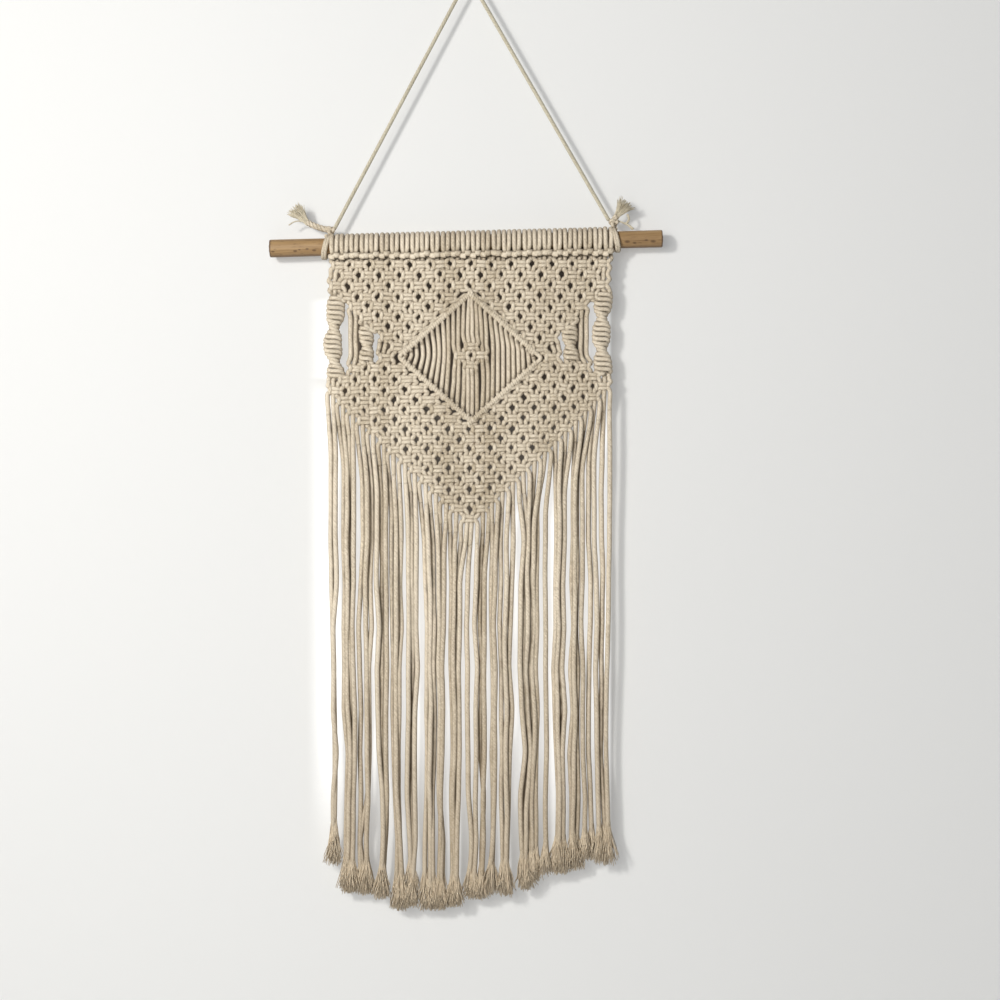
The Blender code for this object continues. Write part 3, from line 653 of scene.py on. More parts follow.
def tie_square_knot(routes: Routes, cords: tuple[int, ...], part: Part, centre: Array,
                    wide: float, tall: float, rng: np.random.Generator,
                    trim: Trim = ((0, 0),) * 4, girth: float = 1.0,
                    stray: ByHand = ByHand()) -> None:
    """Lead four cords through one square knot, a little turned and shifted by hand.

    The left worker crosses the front twice, the right worker passes behind and comes round the
    left side, and two fillers run straight down the middle.  The paths above are in millimetres,
    with x to the right, y away from the viewer and z up.

    Args:
        routes: The routes to carry on.
        cords: The four cords, left to right.
        part: The part that the knot belongs to.
        centre: (x, y, z) of the knot.
        wide: Share of the usual width.
        tall: Share of the usual height.
        rng: Source of the small irregularities.
        trim: For each cord, how many points of its way in and out to leave off.
        girth: How thick the cords are outside the bars; there they are squeezed.
        stray: How much the knot may differ from the others.
    """
    angle = rng.normal(0.0, stray.turn)
    size = 1.0 + rng.normal(0.0, stray.size)
    shift = rng.normal(0.0, stray.shift, 3) * (1.0, stray.depth, 1.0)
    loose = rng.normal(1.0, stray.height)
    for role, cord in zip(Role, cords):
        x, y, z = (PATHS[role] * (wide * size, 1.0, tall * size * loose)).T
        placed = np.stack((x * math.cos(angle) - z * math.sin(angle), y,
                           x * math.sin(angle) + z * math.cos(angle)), axis=1) + centre + shift
        squeeze = 1.0 - SQUEEZED * (np.abs(x) < BARS_HALF) * (y < BARS_FRONT)
        kept = slice(trim[role][0], len(placed) - trim[role][1])
        routes.add(cord, part, placed[kept], girth * squeeze[kept])


@dataclass
class Net:
    """Rows of alternating square knots, above and below the diamond.

    Attributes:
        layout: Shared sizes.
        row_height: Usual height of a row, against which a knot's height is scaled.
        to_bar: How far a knot beside the diamond's lower left bar is drawn towards it.
        beside: First cord of that knot in each row.
        skipped: Least and greatest drop of an edge cord that skipped a row.
        apart: Distance between the cords of a knot as they enter it.
        forward: How far a cord that skipped a row stands in front of the knots.
        widths: Least and greatest width of a knot as a share of the usual one.
        tallest: Greatest height of a knot as a share of the usual one.
    """

    layout: Layout
    row_height: float = 7.7 * MM
    to_bar: float = 4.2 * MM
    beside: tuple[tuple[int, int], ...] = (
        (11, 12), (12, 14), (13, 16), (14, 18), (15, 20), (16, 22))
    skipped: Flat = (0.009, 0.02)
    apart: float = 3.45 * MM
    forward: float = 0.6 * MM
    widths: Flat = (0.88, 1.35)
    tallest: float = 1.08

    def ends(self, row: int, first: int) -> tuple[Array, Array]:
        """(x, z) of a knot's two ends; the knots left of the diamond's foot reach towards it."""
        left, right = self.layout.place(first, row), self.layout.place(first + 4, row)
        if (row, first) in self.beside:
            right = right + (self.to_bar, 0.0)
        return left, right

    def route_row(self, routes: Routes, row: int, rng: np.random.Generator) -> None:
        """Tie one row of knots, after leading edge cords down beside a skipped row.

        Args:
            routes: The routes to carry on.
            row: The row to tie.
            rng: Source of the small irregularities.
        """
        lay = self.layout
        part = Part.UPPER_NET if row <= 9 else Part.LOWER_NET
        above = lay.place(28, row - 1)[1] - lay.place(28, row)[1]
        tall = min(self.tallest, above / self.row_height) if row > 1 else 1.0
        for first in lay.knot_rows()[row]:
            left, right = self.ends(row, first)
            x, z = 0.5 * (left + right)
            cords = tuple(range(first, first + 4))
            for place, cord in enumerate(cords):
                reached = routes.last(cord)[2]
                if ((cord < 2 or cord > lay.cords - 3) and row > 2
                        and self.skipped[0] < reached - z < self.skipped[1]):
                    out = -1.0 if cord < 28 else 1.0
                    outer = 1.0 if cord in (0, lay.cords - 1) else 0.35
                    routes.add_flat(
                        cord, part, x + (place - 1.5) * self.apart + out * outer * 0.1 * MM,
                        lay.net_y - self.forward,
                        0.5 * (reached + z) + np.array((3.4, 0.8)) * MM)
            wide = float(np.clip((right[0] - left[0]) / (4.0 * lay.pitch), *self.widths))
            tie_square_knot(routes, cords, part, np.array((x, lay.net_y, z)), wide, tall, rng)


@dataclass
class PlainCords:
    """Pairs of cords that hang straight from one knot to a much lower one.

    Attributes:
        layout: Shared sizes.
        pairs: The cords of each part, in the order in which they are led.
        beside: Where the cords next to the outer slots hang.
        above: How far above the next knot's row they end.
        shares: Where their points lie on the way down.
    """

    layout: Layout
    pairs: tuple[tuple[Part, tuple[int, ...]], ...] = (
        (Part.PLAIN_LEFT, (4, 5, 10, 11)), (Part.PLAIN_RIGHT, (50, 51, 44, 45)))
    beside: tuple[tuple[int, float], ...] = (
        (4, -0.0913), (5, -0.0872), (50, 0.0872), (51, 0.0912))
    above: float = 4.6 * MM
    shares: tuple[float, ...] = (0.12, 0.5, 0.88)

    def route(self, routes: Routes, rng: np.random.Generator) -> None:
        """Lead the cords down from where they are to just above their next knots."""
        own_x = dict(self.beside)
        share = np.array(self.shares)
        for part, cords in self.pairs:
            for cord in cords:
                reached = routes.last(cord)
                target = self.layout.place(cord + 0.5, 11 if cord in own_x else 10)
                x = reached[0] + share * (target[0] - reached[0])
                x = np.full(3, own_x.get(cord, x))
                drop = target[1] + self.above - reached[2]
                routes.add_flat(cord, part, x + rng.normal(0.0, 0.12 * MM, 3),
                                self.layout.net_y + rng.normal(0.0, 0.2 * MM, 3),
                                reached[2] + share * drop)


# ---------------------------------------------------------------- twisted sinnets

@dataclass
class Sinnet:
    """A spiral of half knots: two workers go round two fillers while the whole band turns.

    The band turns by fits and starts, so that it shows its ladder of bars in broad lobes with
    narrow crossings between them.

    Attributes:
        part: Which sinnet this is.
        cords: Its four cords, left to right.
        axis: Points of its middle line, (x, z), from the top down.
        broad: Half its width where it faces the viewer.
        narrow: Half its width where it turns.
        lobes: Heights at which it faces the viewer, from the top down.
        knot_pitch: Height of one half knot.
        girth: Thickness of the cords as a share of the piece's radius.
        deep: Half-axis of the workers' path along the depth.
        level: How level the workers run across the front, 0 to 0.5.
        core: Distance of a filler from the middle line.
        net_y: Depth of the middle line.
    """

    part: Part
    cords: tuple[int, ...]
    axis: tuple[Flat, ...]
    broad: float
    narrow: float
    lobes: tuple[float, ...]
    knot_pitch: float
    girth: float = 0.92
    deep: float = 2.7 * MM
    level: float = 0.42
    core: float = 1.3 * MM
    net_y: float = -0.0038

    def route(self, routes: Routes, radius: float) -> None:
        """Carry the four cords down through the spiral.

        A worker at phase p is at (a cos p, -b sin p) in the band's own plane, and its height
        falls by the pitch over pi times (p plus a share of the sine of 2p), so that it runs
        level across the front and steeply at the sides.

        Args:
            routes: The routes to carry on.
            radius: Radius of the cords.
        """
        middles, heights = np.array(self.axis).T
        top, bottom = heights[0], heights[-1]
        half_knots = (top - bottom) / self.knot_pitch
        phase = np.linspace(0.0, math.pi * half_knots, int(round(half_knots * 10)) + 1)
        outer_left, left, right, outer_right = self.cords
        for cord, own in ((outer_left, phase), (outer_right, phase + math.pi)):
            z = top - self.knot_pitch / math.pi * (
                phase + self.level * np.sin(2.0 * phase))
            turn = self.turned(z)
            facing = np.abs(np.cos(turn))
            half = (self.narrow + (self.broad - self.narrow) * facing ** 0.7
                    - radius * self.girth)
            flat = np.sign(np.cos(own)) * np.abs(np.cos(own)) ** 0.7
            wide = self.deep + (half - self.deep) * facing ** 0.5
            u, v = -flat * np.maximum(wide, 1.6 * MM), -self.deep * np.sin(own)
            x = np.interp(-z, -heights, middles) + u * np.cos(turn) - v * np.sin(turn)
            y = self.net_y + u * np.sin(turn) * self.deep / wide + v * np.cos(turn)
            routes.add_flat(cord, self.part, x, y, z, self.girth)
        z = np.linspace(top, bottom, len(phase) // 5)
        turn = self.turned(z)
        for cord, side in ((left, -self.core), (right, self.core)):
            routes.add_flat(cord, self.part,
                            np.interp(-z, -heights, middles) + side * np.cos(turn),
                            self.net_y + side * np.sin(turn), z, self.girth)
        routes.sort(self.cords)

    def turned(self, z: Array) -> Array:
        """How far the band has turned at some heights: half a turn from lobe to lobe."""
        lobes = np.array(self.lobes)
        step = lobes[0] - lobes[1]
        ends = np.concatenate(([lobes[0] + step], lobes, [lobes[-1] - step]))
        count = np.interp(-z, -ends, np.arange(len(ends)) - 1.0)
        return math.pi * (count - 0.86 * np.sin(TURN * count) / TURN)


# ---------------------------------------------------------------- the diamond

Spacing = tuple[tuple[tuple[int, float], ...], tuple[tuple[int, float], ...]]


@dataclass
class Diamond:
    """An open diamond: bars of double half hitches, long strands and a rosette of square knots.

    Attributes:
        layout: Shared sizes.
        top, left, right, bottom: (x, z) of its corners.
        bar_radius: Radius of a hitch's axis round the holding cord.
        bar_y: Depth of the bars' axis.
        strand_y: Depth of the strands inside.
        first_cord: The first of the cords that cross the diamond.
        holding: The two cords inside the bars.
        pitch: Distance between two ridges of a hitch.
        winds: Turns of a hitch round its bar.
        stand_off: How much further from the bar the two ends of a hitch are.
        wrap_girth: How thick the wound cords are, as a share of the strands' radius.
        core_girth: The same for the holding cords.
        top_shift: How far an upper hitch sits towards the corner from its strand.
        foot_shift: The same for a lower hitch.
        tops: Where the strands leave the upper bars: for the left and the right half, the x of
            some of its thirteen strands in millimetres; the others are spaced evenly between.
        middles: The same at the strands' middles.
        feet: The same where they meet the lower bars.
        rosette: Each square knot: its centre (x, z), its cords and what is left off their ends.
        to_middle: Where the rosette's inner cords end above its first knot.
        to_sides: Where its outer cords end above the knots beside that.
        above_bar: How far above a lower bar's axis a strand ends.
        short: Length below which a strand has two points only.
        least: Length below which it has none.
    """

    layout: Layout
    top: Flat = (0.0014, -0.2398)
    left: Flat = (-0.0537, -0.2885)
    right: Flat = (0.0565, -0.2896)
    bottom: Flat = (0.0024, -0.3384)
    bar_radius: float = 1.08 * MM
    bar_y: float = -0.0062
    strand_y: float = -0.0026
    first_cord: int = 14
    holding: tuple[int, int] = (27, 28)
    pitch: float = 2.05 * MM
    winds: float = 2.5
    stand_off: float = 0.8 * MM
    wrap_girth: float = 0.70
    core_girth: float = 1.08
    top_shift: float = 0.80 * MM
    foot_shift: float = 0.92 * MM
    tops: Spacing = (((0, -48.8), (12, 0.3)), ((0, 3.0), (2, 9.3), (8, 33.0), (12, 49.8)))
    middles: Spacing = (((0, -48.6), (1, -44.4), (5, -26.3), (12, -0.4)),
                        ((0, 3.0), (3, 14.0), (4, 19.2), (12, 50.4)))
    feet: Spacing = (((0, -50.0), (1, -46.6), (12, -0.5)), ((0, 2.7), (12, 51.2)))
    rosette: tuple[tuple[Flat, tuple[int, ...], Trim], ...] = (
        ((0.0018, -0.2800), (25, 26, 29, 30), ((2, 0), (0, 0), (0, 0), (1, 0))),
        ((-0.0058, -0.2873), (23, 24, 25, 26), ((2, 1), (0, 0), (0, 0), (0, 0))),
        ((0.0089, -0.2868), (29, 30, 31, 32), ((0, 0), (0, 0), (0, 0), (1, 1))),
        ((0.0012, -0.2946), (25, 26, 29, 30), ((0, 1), (0, 0), (0, 0), (0, 1))))

    to_middle: float = -0.2745
    to_sides: float = -0.2820
    above_bar: float = 3.4 * MM
    short: float = 9.0 * MM
    least: float = 2.5 * MM

    def strand(self, cord: int) -> list[float]:
        """x of a cord's strand at its top, middle and foot, metres."""
        side, place = divmod(cord - self.first_cord - (2 if cord > 28 else 0), 13)
        return [float(np.interp(place, *zip(*known[side]))) * MM
                for known in (self.tops, self.middles, self.feet)]

    def side(self, cord: int) -> tuple[float, Flat]:
        """The half that a cord is in, -1 or 1, and that half's outer corner."""
        return (-1.0, self.left) if cord < 28 else (1.0, self.right)

    def bar_point(self, start: Flat, end: Flat, x: float) -> Array:
        """(x, z) of the bar's axis above or below x."""
        share = (x - start[0]) / (end[0] - start[0])
        return np.array((x, start[1] + share * (end[1] - start[1])))

    def hitch(self, routes: Routes, cord: int, start: Flat, end: Flat, x: float) -> None:
        """Wind one cord two and a half turns round a bar, over the front from above.

        Round the bar's axis a point lies at the axis plus the radius times (cosine of the turn
        along the bar's upper normal plus sine of the turn towards the viewer), while it moves
        along the bar by the given pitch.

        Args:
            routes: The routes to carry on.
            cord: The cord to wind.
            start: (x, z) where the bar starts.
            end: (x, z) where it ends.
            x: Where along the bar the hitch sits.
        """
        axis = np.subtract(end, start) / math.dist(start, end)
        normal = np.array((-axis[1], axis[0]))
        normal = normal if normal[1] > 0 else -normal
        turn = np.radians(np.arange(0.0, 360.0 * self.winds + 1.0, 45.0))
        along = (turn / turn[-1] - 0.5) * self.winds * self.pitch
        out = self.bar_radius * np.cos(turn)
        # where the cord comes and goes
        out[0] += self.stand_off
        out[-1] -= self.stand_off
        girth = np.full(len(turn), self.wrap_girth)
        girth[[0, -1]] = 0.5 * (1.0 + self.wrap_girth)
        places = (self.bar_point(start, end, x) + along[:, None] * axis
                  + out[:, None] * normal)
        routes.add_flat(cord, Part.DIAMOND, places[:, 0],
                        self.bar_y - self.bar_radius * np.sin(turn), places[:, 1], girth)

    def route(self, routes: Routes, rng: np.random.Generator) -> None:
        """Lead cords 14 to 41 through the diamond.

        Args:
            routes: The routes to carry on.
            rng: Source of the small irregularities.
        """
        inside = [cord for cord in range(self.first_cord, self.layout.cords - self.first_cord)
                  if cord not in self.holding]
        for cord in inside:
            sign, corner = self.side(cord)
            self.hitch(routes, cord, self.top, corner,
                       self.strand(cord)[0] - sign * self.top_shift)
        self.hang_to_rosette(routes, rng)
        for (x, z), cords, trim in self.rosette:
            tie_square_knot(routes, cords, Part.DIAMOND,
                            np.array((x, self.strand_y - 0.7 * MM, z)), 0.94, 1.0, rng, trim,
                            1.08)
        for cord in inside:
            sign, corner = self.side(cord)
            self.hang(routes, cord, rng)
            self.hitch(routes, cord, corner, self.bottom,
                       self.strand(cord)[2] - sign * self.foot_shift)
        for cord in self.holding:
            self.hold(routes, cord)

    def hold(self, routes: Routes, cord: int) -> None:
        """Lead a holding cord inside the two bars of its half."""
        sign, corner = self.side(cord)
        corners = np.array((self.top, corner, self.bottom))
        share = np.linspace(0.0, 1.0, 9)[:, None]
        down = corners[0] + share * (corners[1] - corners[0])
        back = corners[1] + share * (corners[2] - corners[1])
        line = np.vstack((down[:-1], back))
        # the cord comes out at the top and the bottom, and turns round a little early
        line[0] += (0.4 * sign * MM, 1.2 * MM)
        line[8] += (-sign * 0.8 * MM, 0.0)
        line[-1] += (0.6 * sign * MM, -0.6 * MM)
        girth = np.full(len(line), self.core_girth)
        girth[[0, -1]] = 0.9
        routes.add_flat(cord, Part.DIAMOND, line[:, 0], self.bar_y, line[:, 1], girth)

    def hang_to_rosette(self, routes: Routes, rng: np.random.Generator) -> None:
        """Let the eight middle strands down from the upper bars to the rosette's knots."""
        share = np.array((0.35, 0.7, 0.9))
        for cord in (23, 24, 25, 26, 29, 30, 31, 32):
            start = routes.last(cord)
            middle = self.strand(cord)[1]
            end_z = self.to_sides if cord in (23, 24, 31, 32) else self.to_middle
            routes.add_flat(
                cord, Part.DIAMOND,
                middle + (start[0] - middle) * (1.0 - np.minimum(1.0, 1.6 * share)),
                self.strand_y + rng.normal(0.0, 0.2 * MM), start[2] + share * (end_z - start[2]))

    def hang(self, routes: Routes, cord: int, rng: np.random.Generator) -> None:
        """Hang a strand from what it last met down to the lower bar.

        It bows by way of its middle, soon below its start, and swings back to its foot late.
        """
        start = routes.last(cord)
        sign, corner = self.side(cord)
        _, middle, foot = self.strand(cord)
        bar_z = self.bar_point(corner, self.bottom, foot - sign * self.foot_shift)[1]
        height = start[2] - (bar_z + self.above_bar)
        if height < self.least:
            return
        if 23 <= cord <= 32:
            middle = 0.5 * (start[0] + foot) + (0.8 * MM if cord in (31, 32) else 0.2 * MM)
        share = np.array(
            (0.3, 0.7) if height < self.short else (0.12, 0.3, 0.5, 0.7, 0.88, 0.97))
        toward = np.interp(share, (0.0, 0.3, 0.55, 1.0), (0.0, 0.9, 1.0, 0.0))
        base = np.where(share < 0.55, start[0], foot)
        x = base + toward * (middle - base) + rng.normal(0.0, 0.12 * MM)
        routes.add_flat(cord, Part.DIAMOND, x, self.strand_y + rng.normal(0.0, 0.2 * MM),
                        start[2] - share * height)


# ---------------------------------------------------------------- the fringe

@dataclass
class Fringe:
    """Fifty-six cords that hang from the V-shaped edge and end in frayed brushes.

    Attributes:
        layout: Shared sizes.
        heights: Three heights, near the knots, half way and at the ends, in millimetres.
        edges: The fringe's left and right edge at those heights, in millimetres.
        gaps: Openings between bunches: the last cord before it, where it is, and how wide it
            is at the three heights, in millimetres.
        tufts: The brushes that hang together: (last cord, height of the tips, length), in
            millimetres.
        yarns: Fine yarns in one brush.
        taper: How a yarn's thickness falls off along it.
        front_y: Depth of every second cord.
        back_y: Depth of the cords between them.
        radius: Radius of a hanging cord.
        yarn_radius: Radius of a fine yarn.
        crossing: Height below which the cords of a bunch start to cross.
        overlap: How far a brush starts inside its cord.
        step: Distance between two points of a cord.
        first_drop: How far below its last knot a cord's first point lies.
        knot_depth: How far below that knot a cord has reached its own depth.
        knot_side: The same for its own lane.
        sways: Its sway sideways: how far, and the least and greatest waves in 2 pi metres.
        cross: How far the cords of a bunch swing across each other at their ends.
    """

    layout: Layout
    heights: tuple[float, ...] = (-430.0, -590.0, -695.0)
    edges: tuple[tuple[float, ...], tuple[float, ...]] = (
        (-108.5, -105.2, -107.0), (111.3, 108.0, 111.5))
    gaps: tuple[tuple[int, float, float, float, float], ...] = (
        (1, -100.0, 2.0, 4.5, 5.5), (5, -86.0, 3.0, 0.0, 4.0), (6, -81.0, 0.0, 2.5, 0.0),
        (8, -73.0, 0.0, 4.5, 13.0), (11, -61.0, 0.0, 1.5, 6.0), (14, -50.0, 2.0, 4.0, 3.5),
        (17, -37.0, 2.5, 5.5, 5.0), (20, -25.0, 0.0, 0.0, 3.5), (23, -16.5, 1.0, 3.5, 6.5),
        (27, -4.0, 0.0, 2.5, 6.5), (28, 3.0, 2.0, 2.5, 0.0), (29, 7.0, 0.0, 0.0, 4.0),
        (31, 15.0, 1.5, 2.5, 4.0), (33, 22.5, 0.0, 1.5, 5.0), (36, 37.0, 4.0, 6.0, 10.0),
        (42, 56.0, 1.0, 4.0, 3.0), (43, 64.0, 3.0, 3.0, 5.5), (47, 77.0, 3.0, 2.5, 2.5),
        (50, 86.5, 0.0, 0.0, 4.0), (52, 96.5, 0.0, 2.0, 2.5))
    tufts: tuple[tuple[int, float, float], ...] = (
        (1, -679.0, 23.0), (5, -701.0, 19.0), (8, -702.5, 18.0), (11, -705.5, 17.0),
        (14, -714.5, 17.0), (15, -698.0, 14.0), (17, -713.0, 16.0), (20, -714.5, 17.0),
        (23, -714.0, 17.0), (27, -711.8, 17.0), (29, -706.0, 13.0), (31, -706.5, 13.0),
        (33, -702.0, 16.0), (36, -703.0, 17.0), (39, -698.5, 20.0), (42, -693.0, 20.0),
        (43, -687.9, 17.0), (47, -686.3, 17.0), (50, -684.0, 16.0), (52, -676.2, 15.0),
        (55, -678.6, 22.0))
    yarns: int = 74
    taper: tuple[float, ...] = (1.0, 1.0, 1.0, 1.0, 0.95, 0.85, 0.65)
    front_y: float = -0.0046
    back_y: float = -0.0024
    radius: float = 2.02 * MM
    yarn_radius: float = 0.44 * MM
    crossing: float = -0.53
    overlap: float = 8.0 * MM
    step: float = 10.5 * MM
    first_drop: float = 0.004
    knot_depth: float = 0.016
    knot_side: float = 0.050
    sways: tuple[tuple[float, float, float], ...] = (
        (0.60 * MM, 48.0, 75.0), (0.18 * MM, 120.0, 170.0))
    cross: float = 2.4 * MM

    def tuft(self, cord: int) -> tuple[float, float]:
        """Height of a cord's tip and length of its brush, metres."""
        tip, length = next(own[1:] for own in self.tufts if cord <= own[0])
        return tip * MM, length * MM

    def lanes(self, rng: np.random.Generator) -> tuple[Array, Array, Array]:
        """Where every cord hangs at some heights.

        Between two open gaps the cords share the room evenly, edge to edge; a gap wanders and
        opens or closes a little from height to height.

        Args:
            rng: Source of the small irregularities.

        Returns:
            Heights (rows,), places (rows, cords) and how free each cord is to sway, 0 at the
            edge of a gap and 1 well away from one, (rows, cords); lengths in metres.
        """
        places, free = [], []
        last_cord = self.layout.cords - 1
        levels = np.linspace(self.heights[0], self.heights[-1], 9)
        left, right = (np.interp(-levels, np.negative(self.heights), edge) for edge in self.edges)
        gap_at = np.array([gap[1] for gap in self.gaps])
        gap_width = np.array([np.interp(-levels, np.negative(self.heights), gap[2:])
                              for gap in self.gaps])
        gap_at = gap_at[:, None] + rng.normal(0.0, 0.85, gap_width.shape)
        gap_width *= rng.uniform(0.6, 1.35, gap_width.shape)
        for level in range(len(levels)):
            first, begin = 0, left[level]
            row, loose = [], []
            for k, last in enumerate([gap[0] for gap in self.gaps] + [last_cord]):
                end = right[level] if last == last_cord else (
                    gap_at[k, level] - 0.5 * gap_width[k, level])
                count = last - first + 1
                ends = begin * MM + self.radius, end * MM - self.radius
                row.append(np.linspace(*ends, count) if count > 1 else [0.5 * sum(ends)])
                from_edge = np.minimum(np.arange(count), np.arange(count)[::-1])
                loose.append(np.minimum(1.0, 0.25 + 0.4 * from_edge))
                first = last + 1
                begin = end + gap_width[k, level] if last < last_cord else end
            places.append(np.concatenate(row))
            free.append(np.concatenate(loose))
        return levels * MM, np.array(places), np.array(free)

    def route(self, routes: Routes, rng: np.random.Generator) -> None:
        """Let every cord down from its last knot to where its brush begins.

        A cord follows its lane sideways, with a slow sway, and lies nearer or further back
        than its neighbours so that they overlap.
        """
        heights, places, free = self.lanes(rng)
        for cord in range(self.layout.cords):
            start = routes.last(cord)
            tip, length = self.tuft(cord)
            end = tip + length + rng.normal(0.0, 2.0 * MM)
            count = int((start[2] - end) / self.step)
            share = (np.arange(count) + 1.0) / count
            z = start[2] - self.first_drop + share * (end - start[2] + self.first_drop)
            depth = self.front_y if cord % 2 else self.back_y
            depth += rng.normal(0.0, 0.35 * MM)
            phase = rng.uniform(0.0, TURN, 4)
            reach, swing = (smooth(np.minimum(1.0, (start[2] - z) / drop))
                            for drop in (self.knot_depth, self.knot_side))
            lane = np.interp(-z, -heights, places[:, cord])
            sway = np.interp(-z, -heights, free[:, cord]) * reach
            x = start[0] + swing * (lane - start[0])
            for (far, *waves), begin in zip(self.sways, phase[::2]):
                x += far * sway * np.sin(rng.uniform(*waves) * z + begin)
            # towards the tips the cords of a bunch swing across each other
            low = np.clip((self.crossing - z) / 0.17, 0.0, 1.0)
            x += self.cross * sway * low ** 1.5 * np.sin(22.0 * z + phase[3])
            y = start[1] + reach * (depth - start[1])
            y += 1.0 * MM * reach * np.sin(rng.uniform(25.0, 45.0) * z + phase[1])
            routes.add_flat(cord, Part.FRINGE, x, y, z)

    def brushes(self, routes: Routes, rng: np.random.Generator) -> Array:
        """Fine yarns that fan out of every cord's end, cord after cord."""
        cords = range(self.layout.cords)
        ends = np.array([routes.last(cord) for cord in cords])
        before = np.array([routes.points[cord][-2] for cord in cords])
        # each brush follows its cord, and gravity draws it down
        drift = unit(unit(ends - before) + (0.0, 0.0, -0.6))
        lengths = np.array([end[2] - self.tuft(cord)[0] for cord, end in zip(cords, ends)])
        spread = rng.uniform(3.4, 5.4, len(ends)) * MM
        return fray_out(ends - self.overlap * drift, drift, lengths + self.overlap, 1.9 * MM,
                        spread, self.yarns, rng, crimp=0.95 * MM, bell=0.8, uneven=0.2)

    def build(self, routes: Routes, tones: Array, rng: np.random.Generator) -> list[Item]:
        """Make the cords and the brushes of both sides in place of their plain solids.

        Args:
            routes: The finished routes.
            tones: One tone a cord.
            rng: Source of the small irregularities.

        Returns:
            The pieces.
        """
        pieces = []
        half = self.layout.cords // 2
        stations = self.brushes(routes, rng)
        radii = np.full(stations.shape[:2], self.yarn_radius) * self.taper
        yarn_tones = np.clip(rng.normal(0.45, 0.2, len(stations)), 0.0, 1.0)
        for side, low in (("left", 0), ("right", half)):
            tubes = Tubes(sides=8)
            for cord in range(low, low + half):
                for part, points, normals, binormals, run, _ in routes.cuts[cord]:
                    if part == Part.FRINGE:
                        grow = np.clip((run - run[0]) / 0.02, 0.0, 1.0)
                        left = np.clip((run[-1] - run) / 0.009, 0.0, 1.0)
                        thick = self.radius * (0.92 + 0.08 * grow) * (0.3 + 0.7 * left ** 0.5)
                        tubes.add(points, normals, binormals, thick, run, tones[cord])
            pieces.append(tubes.mesh("fringe_cords_" + side, routes.crowd, 1.25))
            fray = Tubes(sides=3)
            own = slice(low * self.yarns, (low + half) * self.yarns)
            fray.add_all(stations[own], radii[own], yarn_tones[own])
            pieces.append(fray.mesh("fringe_brushes_" + side))
            for piece in pieces[-2:]:
                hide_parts("fringe_" + side)
        return pieces


# ---------------------------------------------------------------- hanging cord and its ties

def fray_out(bases: Array, directions: Array, lengths: Array, inner: float, spread: Array,
             count: int, rng: np.random.Generator, flat: float = 0.55,
             crimp: float = 0.4 * MM, bell: float = 0.0, uneven: float = 0.32,
             longest: float = 1.12, inside: float = 2.0 * MM) -> Array:
    """Fine yarns that fan out of several cords' ends.

    A yarn runs along its cord's direction from just inside the cord, and leaves the cord's line
    by the distance run to the power of 1.7, or by a smooth step for a bell-shaped brush, with a
    small wave across.

    Args:
        bases: Where each cord starts to open, (cords, 3).
        directions: Unit direction of each cord there, (cords, 3).
        lengths: Length of each brush, (cords,).
        inner: Radius of the cord.
        spread: How far the outermost yarns of each cord spread, (cords,).
        count: Yarns in one cord.
        rng: Source of the small irregularities.
        flat: Share of the spread that a brush has in depth.
        crimp: How far a yarn waves from its own line.
        bell: Share of the smooth step in the shape.
        uneven: By how much of the length the yarns differ.
        longest: Length of the longest yarn as a share of the brush's.
        inside: How far inside the cord the yarns start.

    Returns:
        Stations (cords * count, 7, 3).
    """
    total = len(bases) * count
    owner = np.repeat(np.arange(len(bases)), count)
    side = unit(np.cross(directions, (0.0, 1.0, 0.0)))
    angle = rng.uniform(0.0, TURN, total)
    reach = np.sqrt(rng.uniform(0.0, 1.0, total))
    share = np.linspace(0.0, 1.0, 7)[None, :]
    grow = (spread[owner] * reach - 0.5 * inner * reach)[:, None]
    fan = (inner * 0.9 * reach)[:, None] + grow * (
        (1.0 - bell) * share ** 1.7 + bell * smooth(share))
    bend = rng.normal(0.0, 0.07, total)[:, None] * lengths[owner, None] * share ** 2
    wave = rng.normal(0.0, crimp, total)[:, None] * np.sin(
        share * rng.uniform(4.0, 10.0, total)[:, None]) * share
    across = np.cos(angle)[:, None] * fan + bend + wave
    deep = flat * np.sin(angle)[:, None] * fan + 0.4 * wave
    # the outer yarns end higher, which rounds the brush
    long = (rng.uniform(longest - uneven, longest, total)[:, None]
            - 0.2 * bell * reach[:, None] ** 3)
    along = share * long * (lengths[owner, None] + inside) - inside
    return (bases[owner, None, :] + along[:, :, None] * directions[owner, None, :]
            + across[:, :, None] * side[owner, None, :]
            + deep[:, :, None] * np.array((0.0, 1.0, 0.0)))


def laid_rope(axis: Array, plies: int, offset: float, pitch: float, phase: float) -> Array:
    """Axes of the plies of a laid rope: helices round a line, (plies, stations, 3).

    Args:
        axis: Stations of the rope's own line, (n, 3).
        plies: How many plies.
        offset: Distance of a ply's axis from the rope's.
        pitch: Length of one full turn.
        phase: Turn of the first ply, radians.
    """
    normals, binormals = carried_frames(axis[None])
    turn = (TURN * run_along(axis) / pitch)[None, :] + phase + (
        TURN * np.arange(plies) / plies)[:, None]
    return (axis[None] + offset * (np.cos(turn)[:, :, None] * normals
                                   + np.sin(turn)[:, :, None] * binormals))


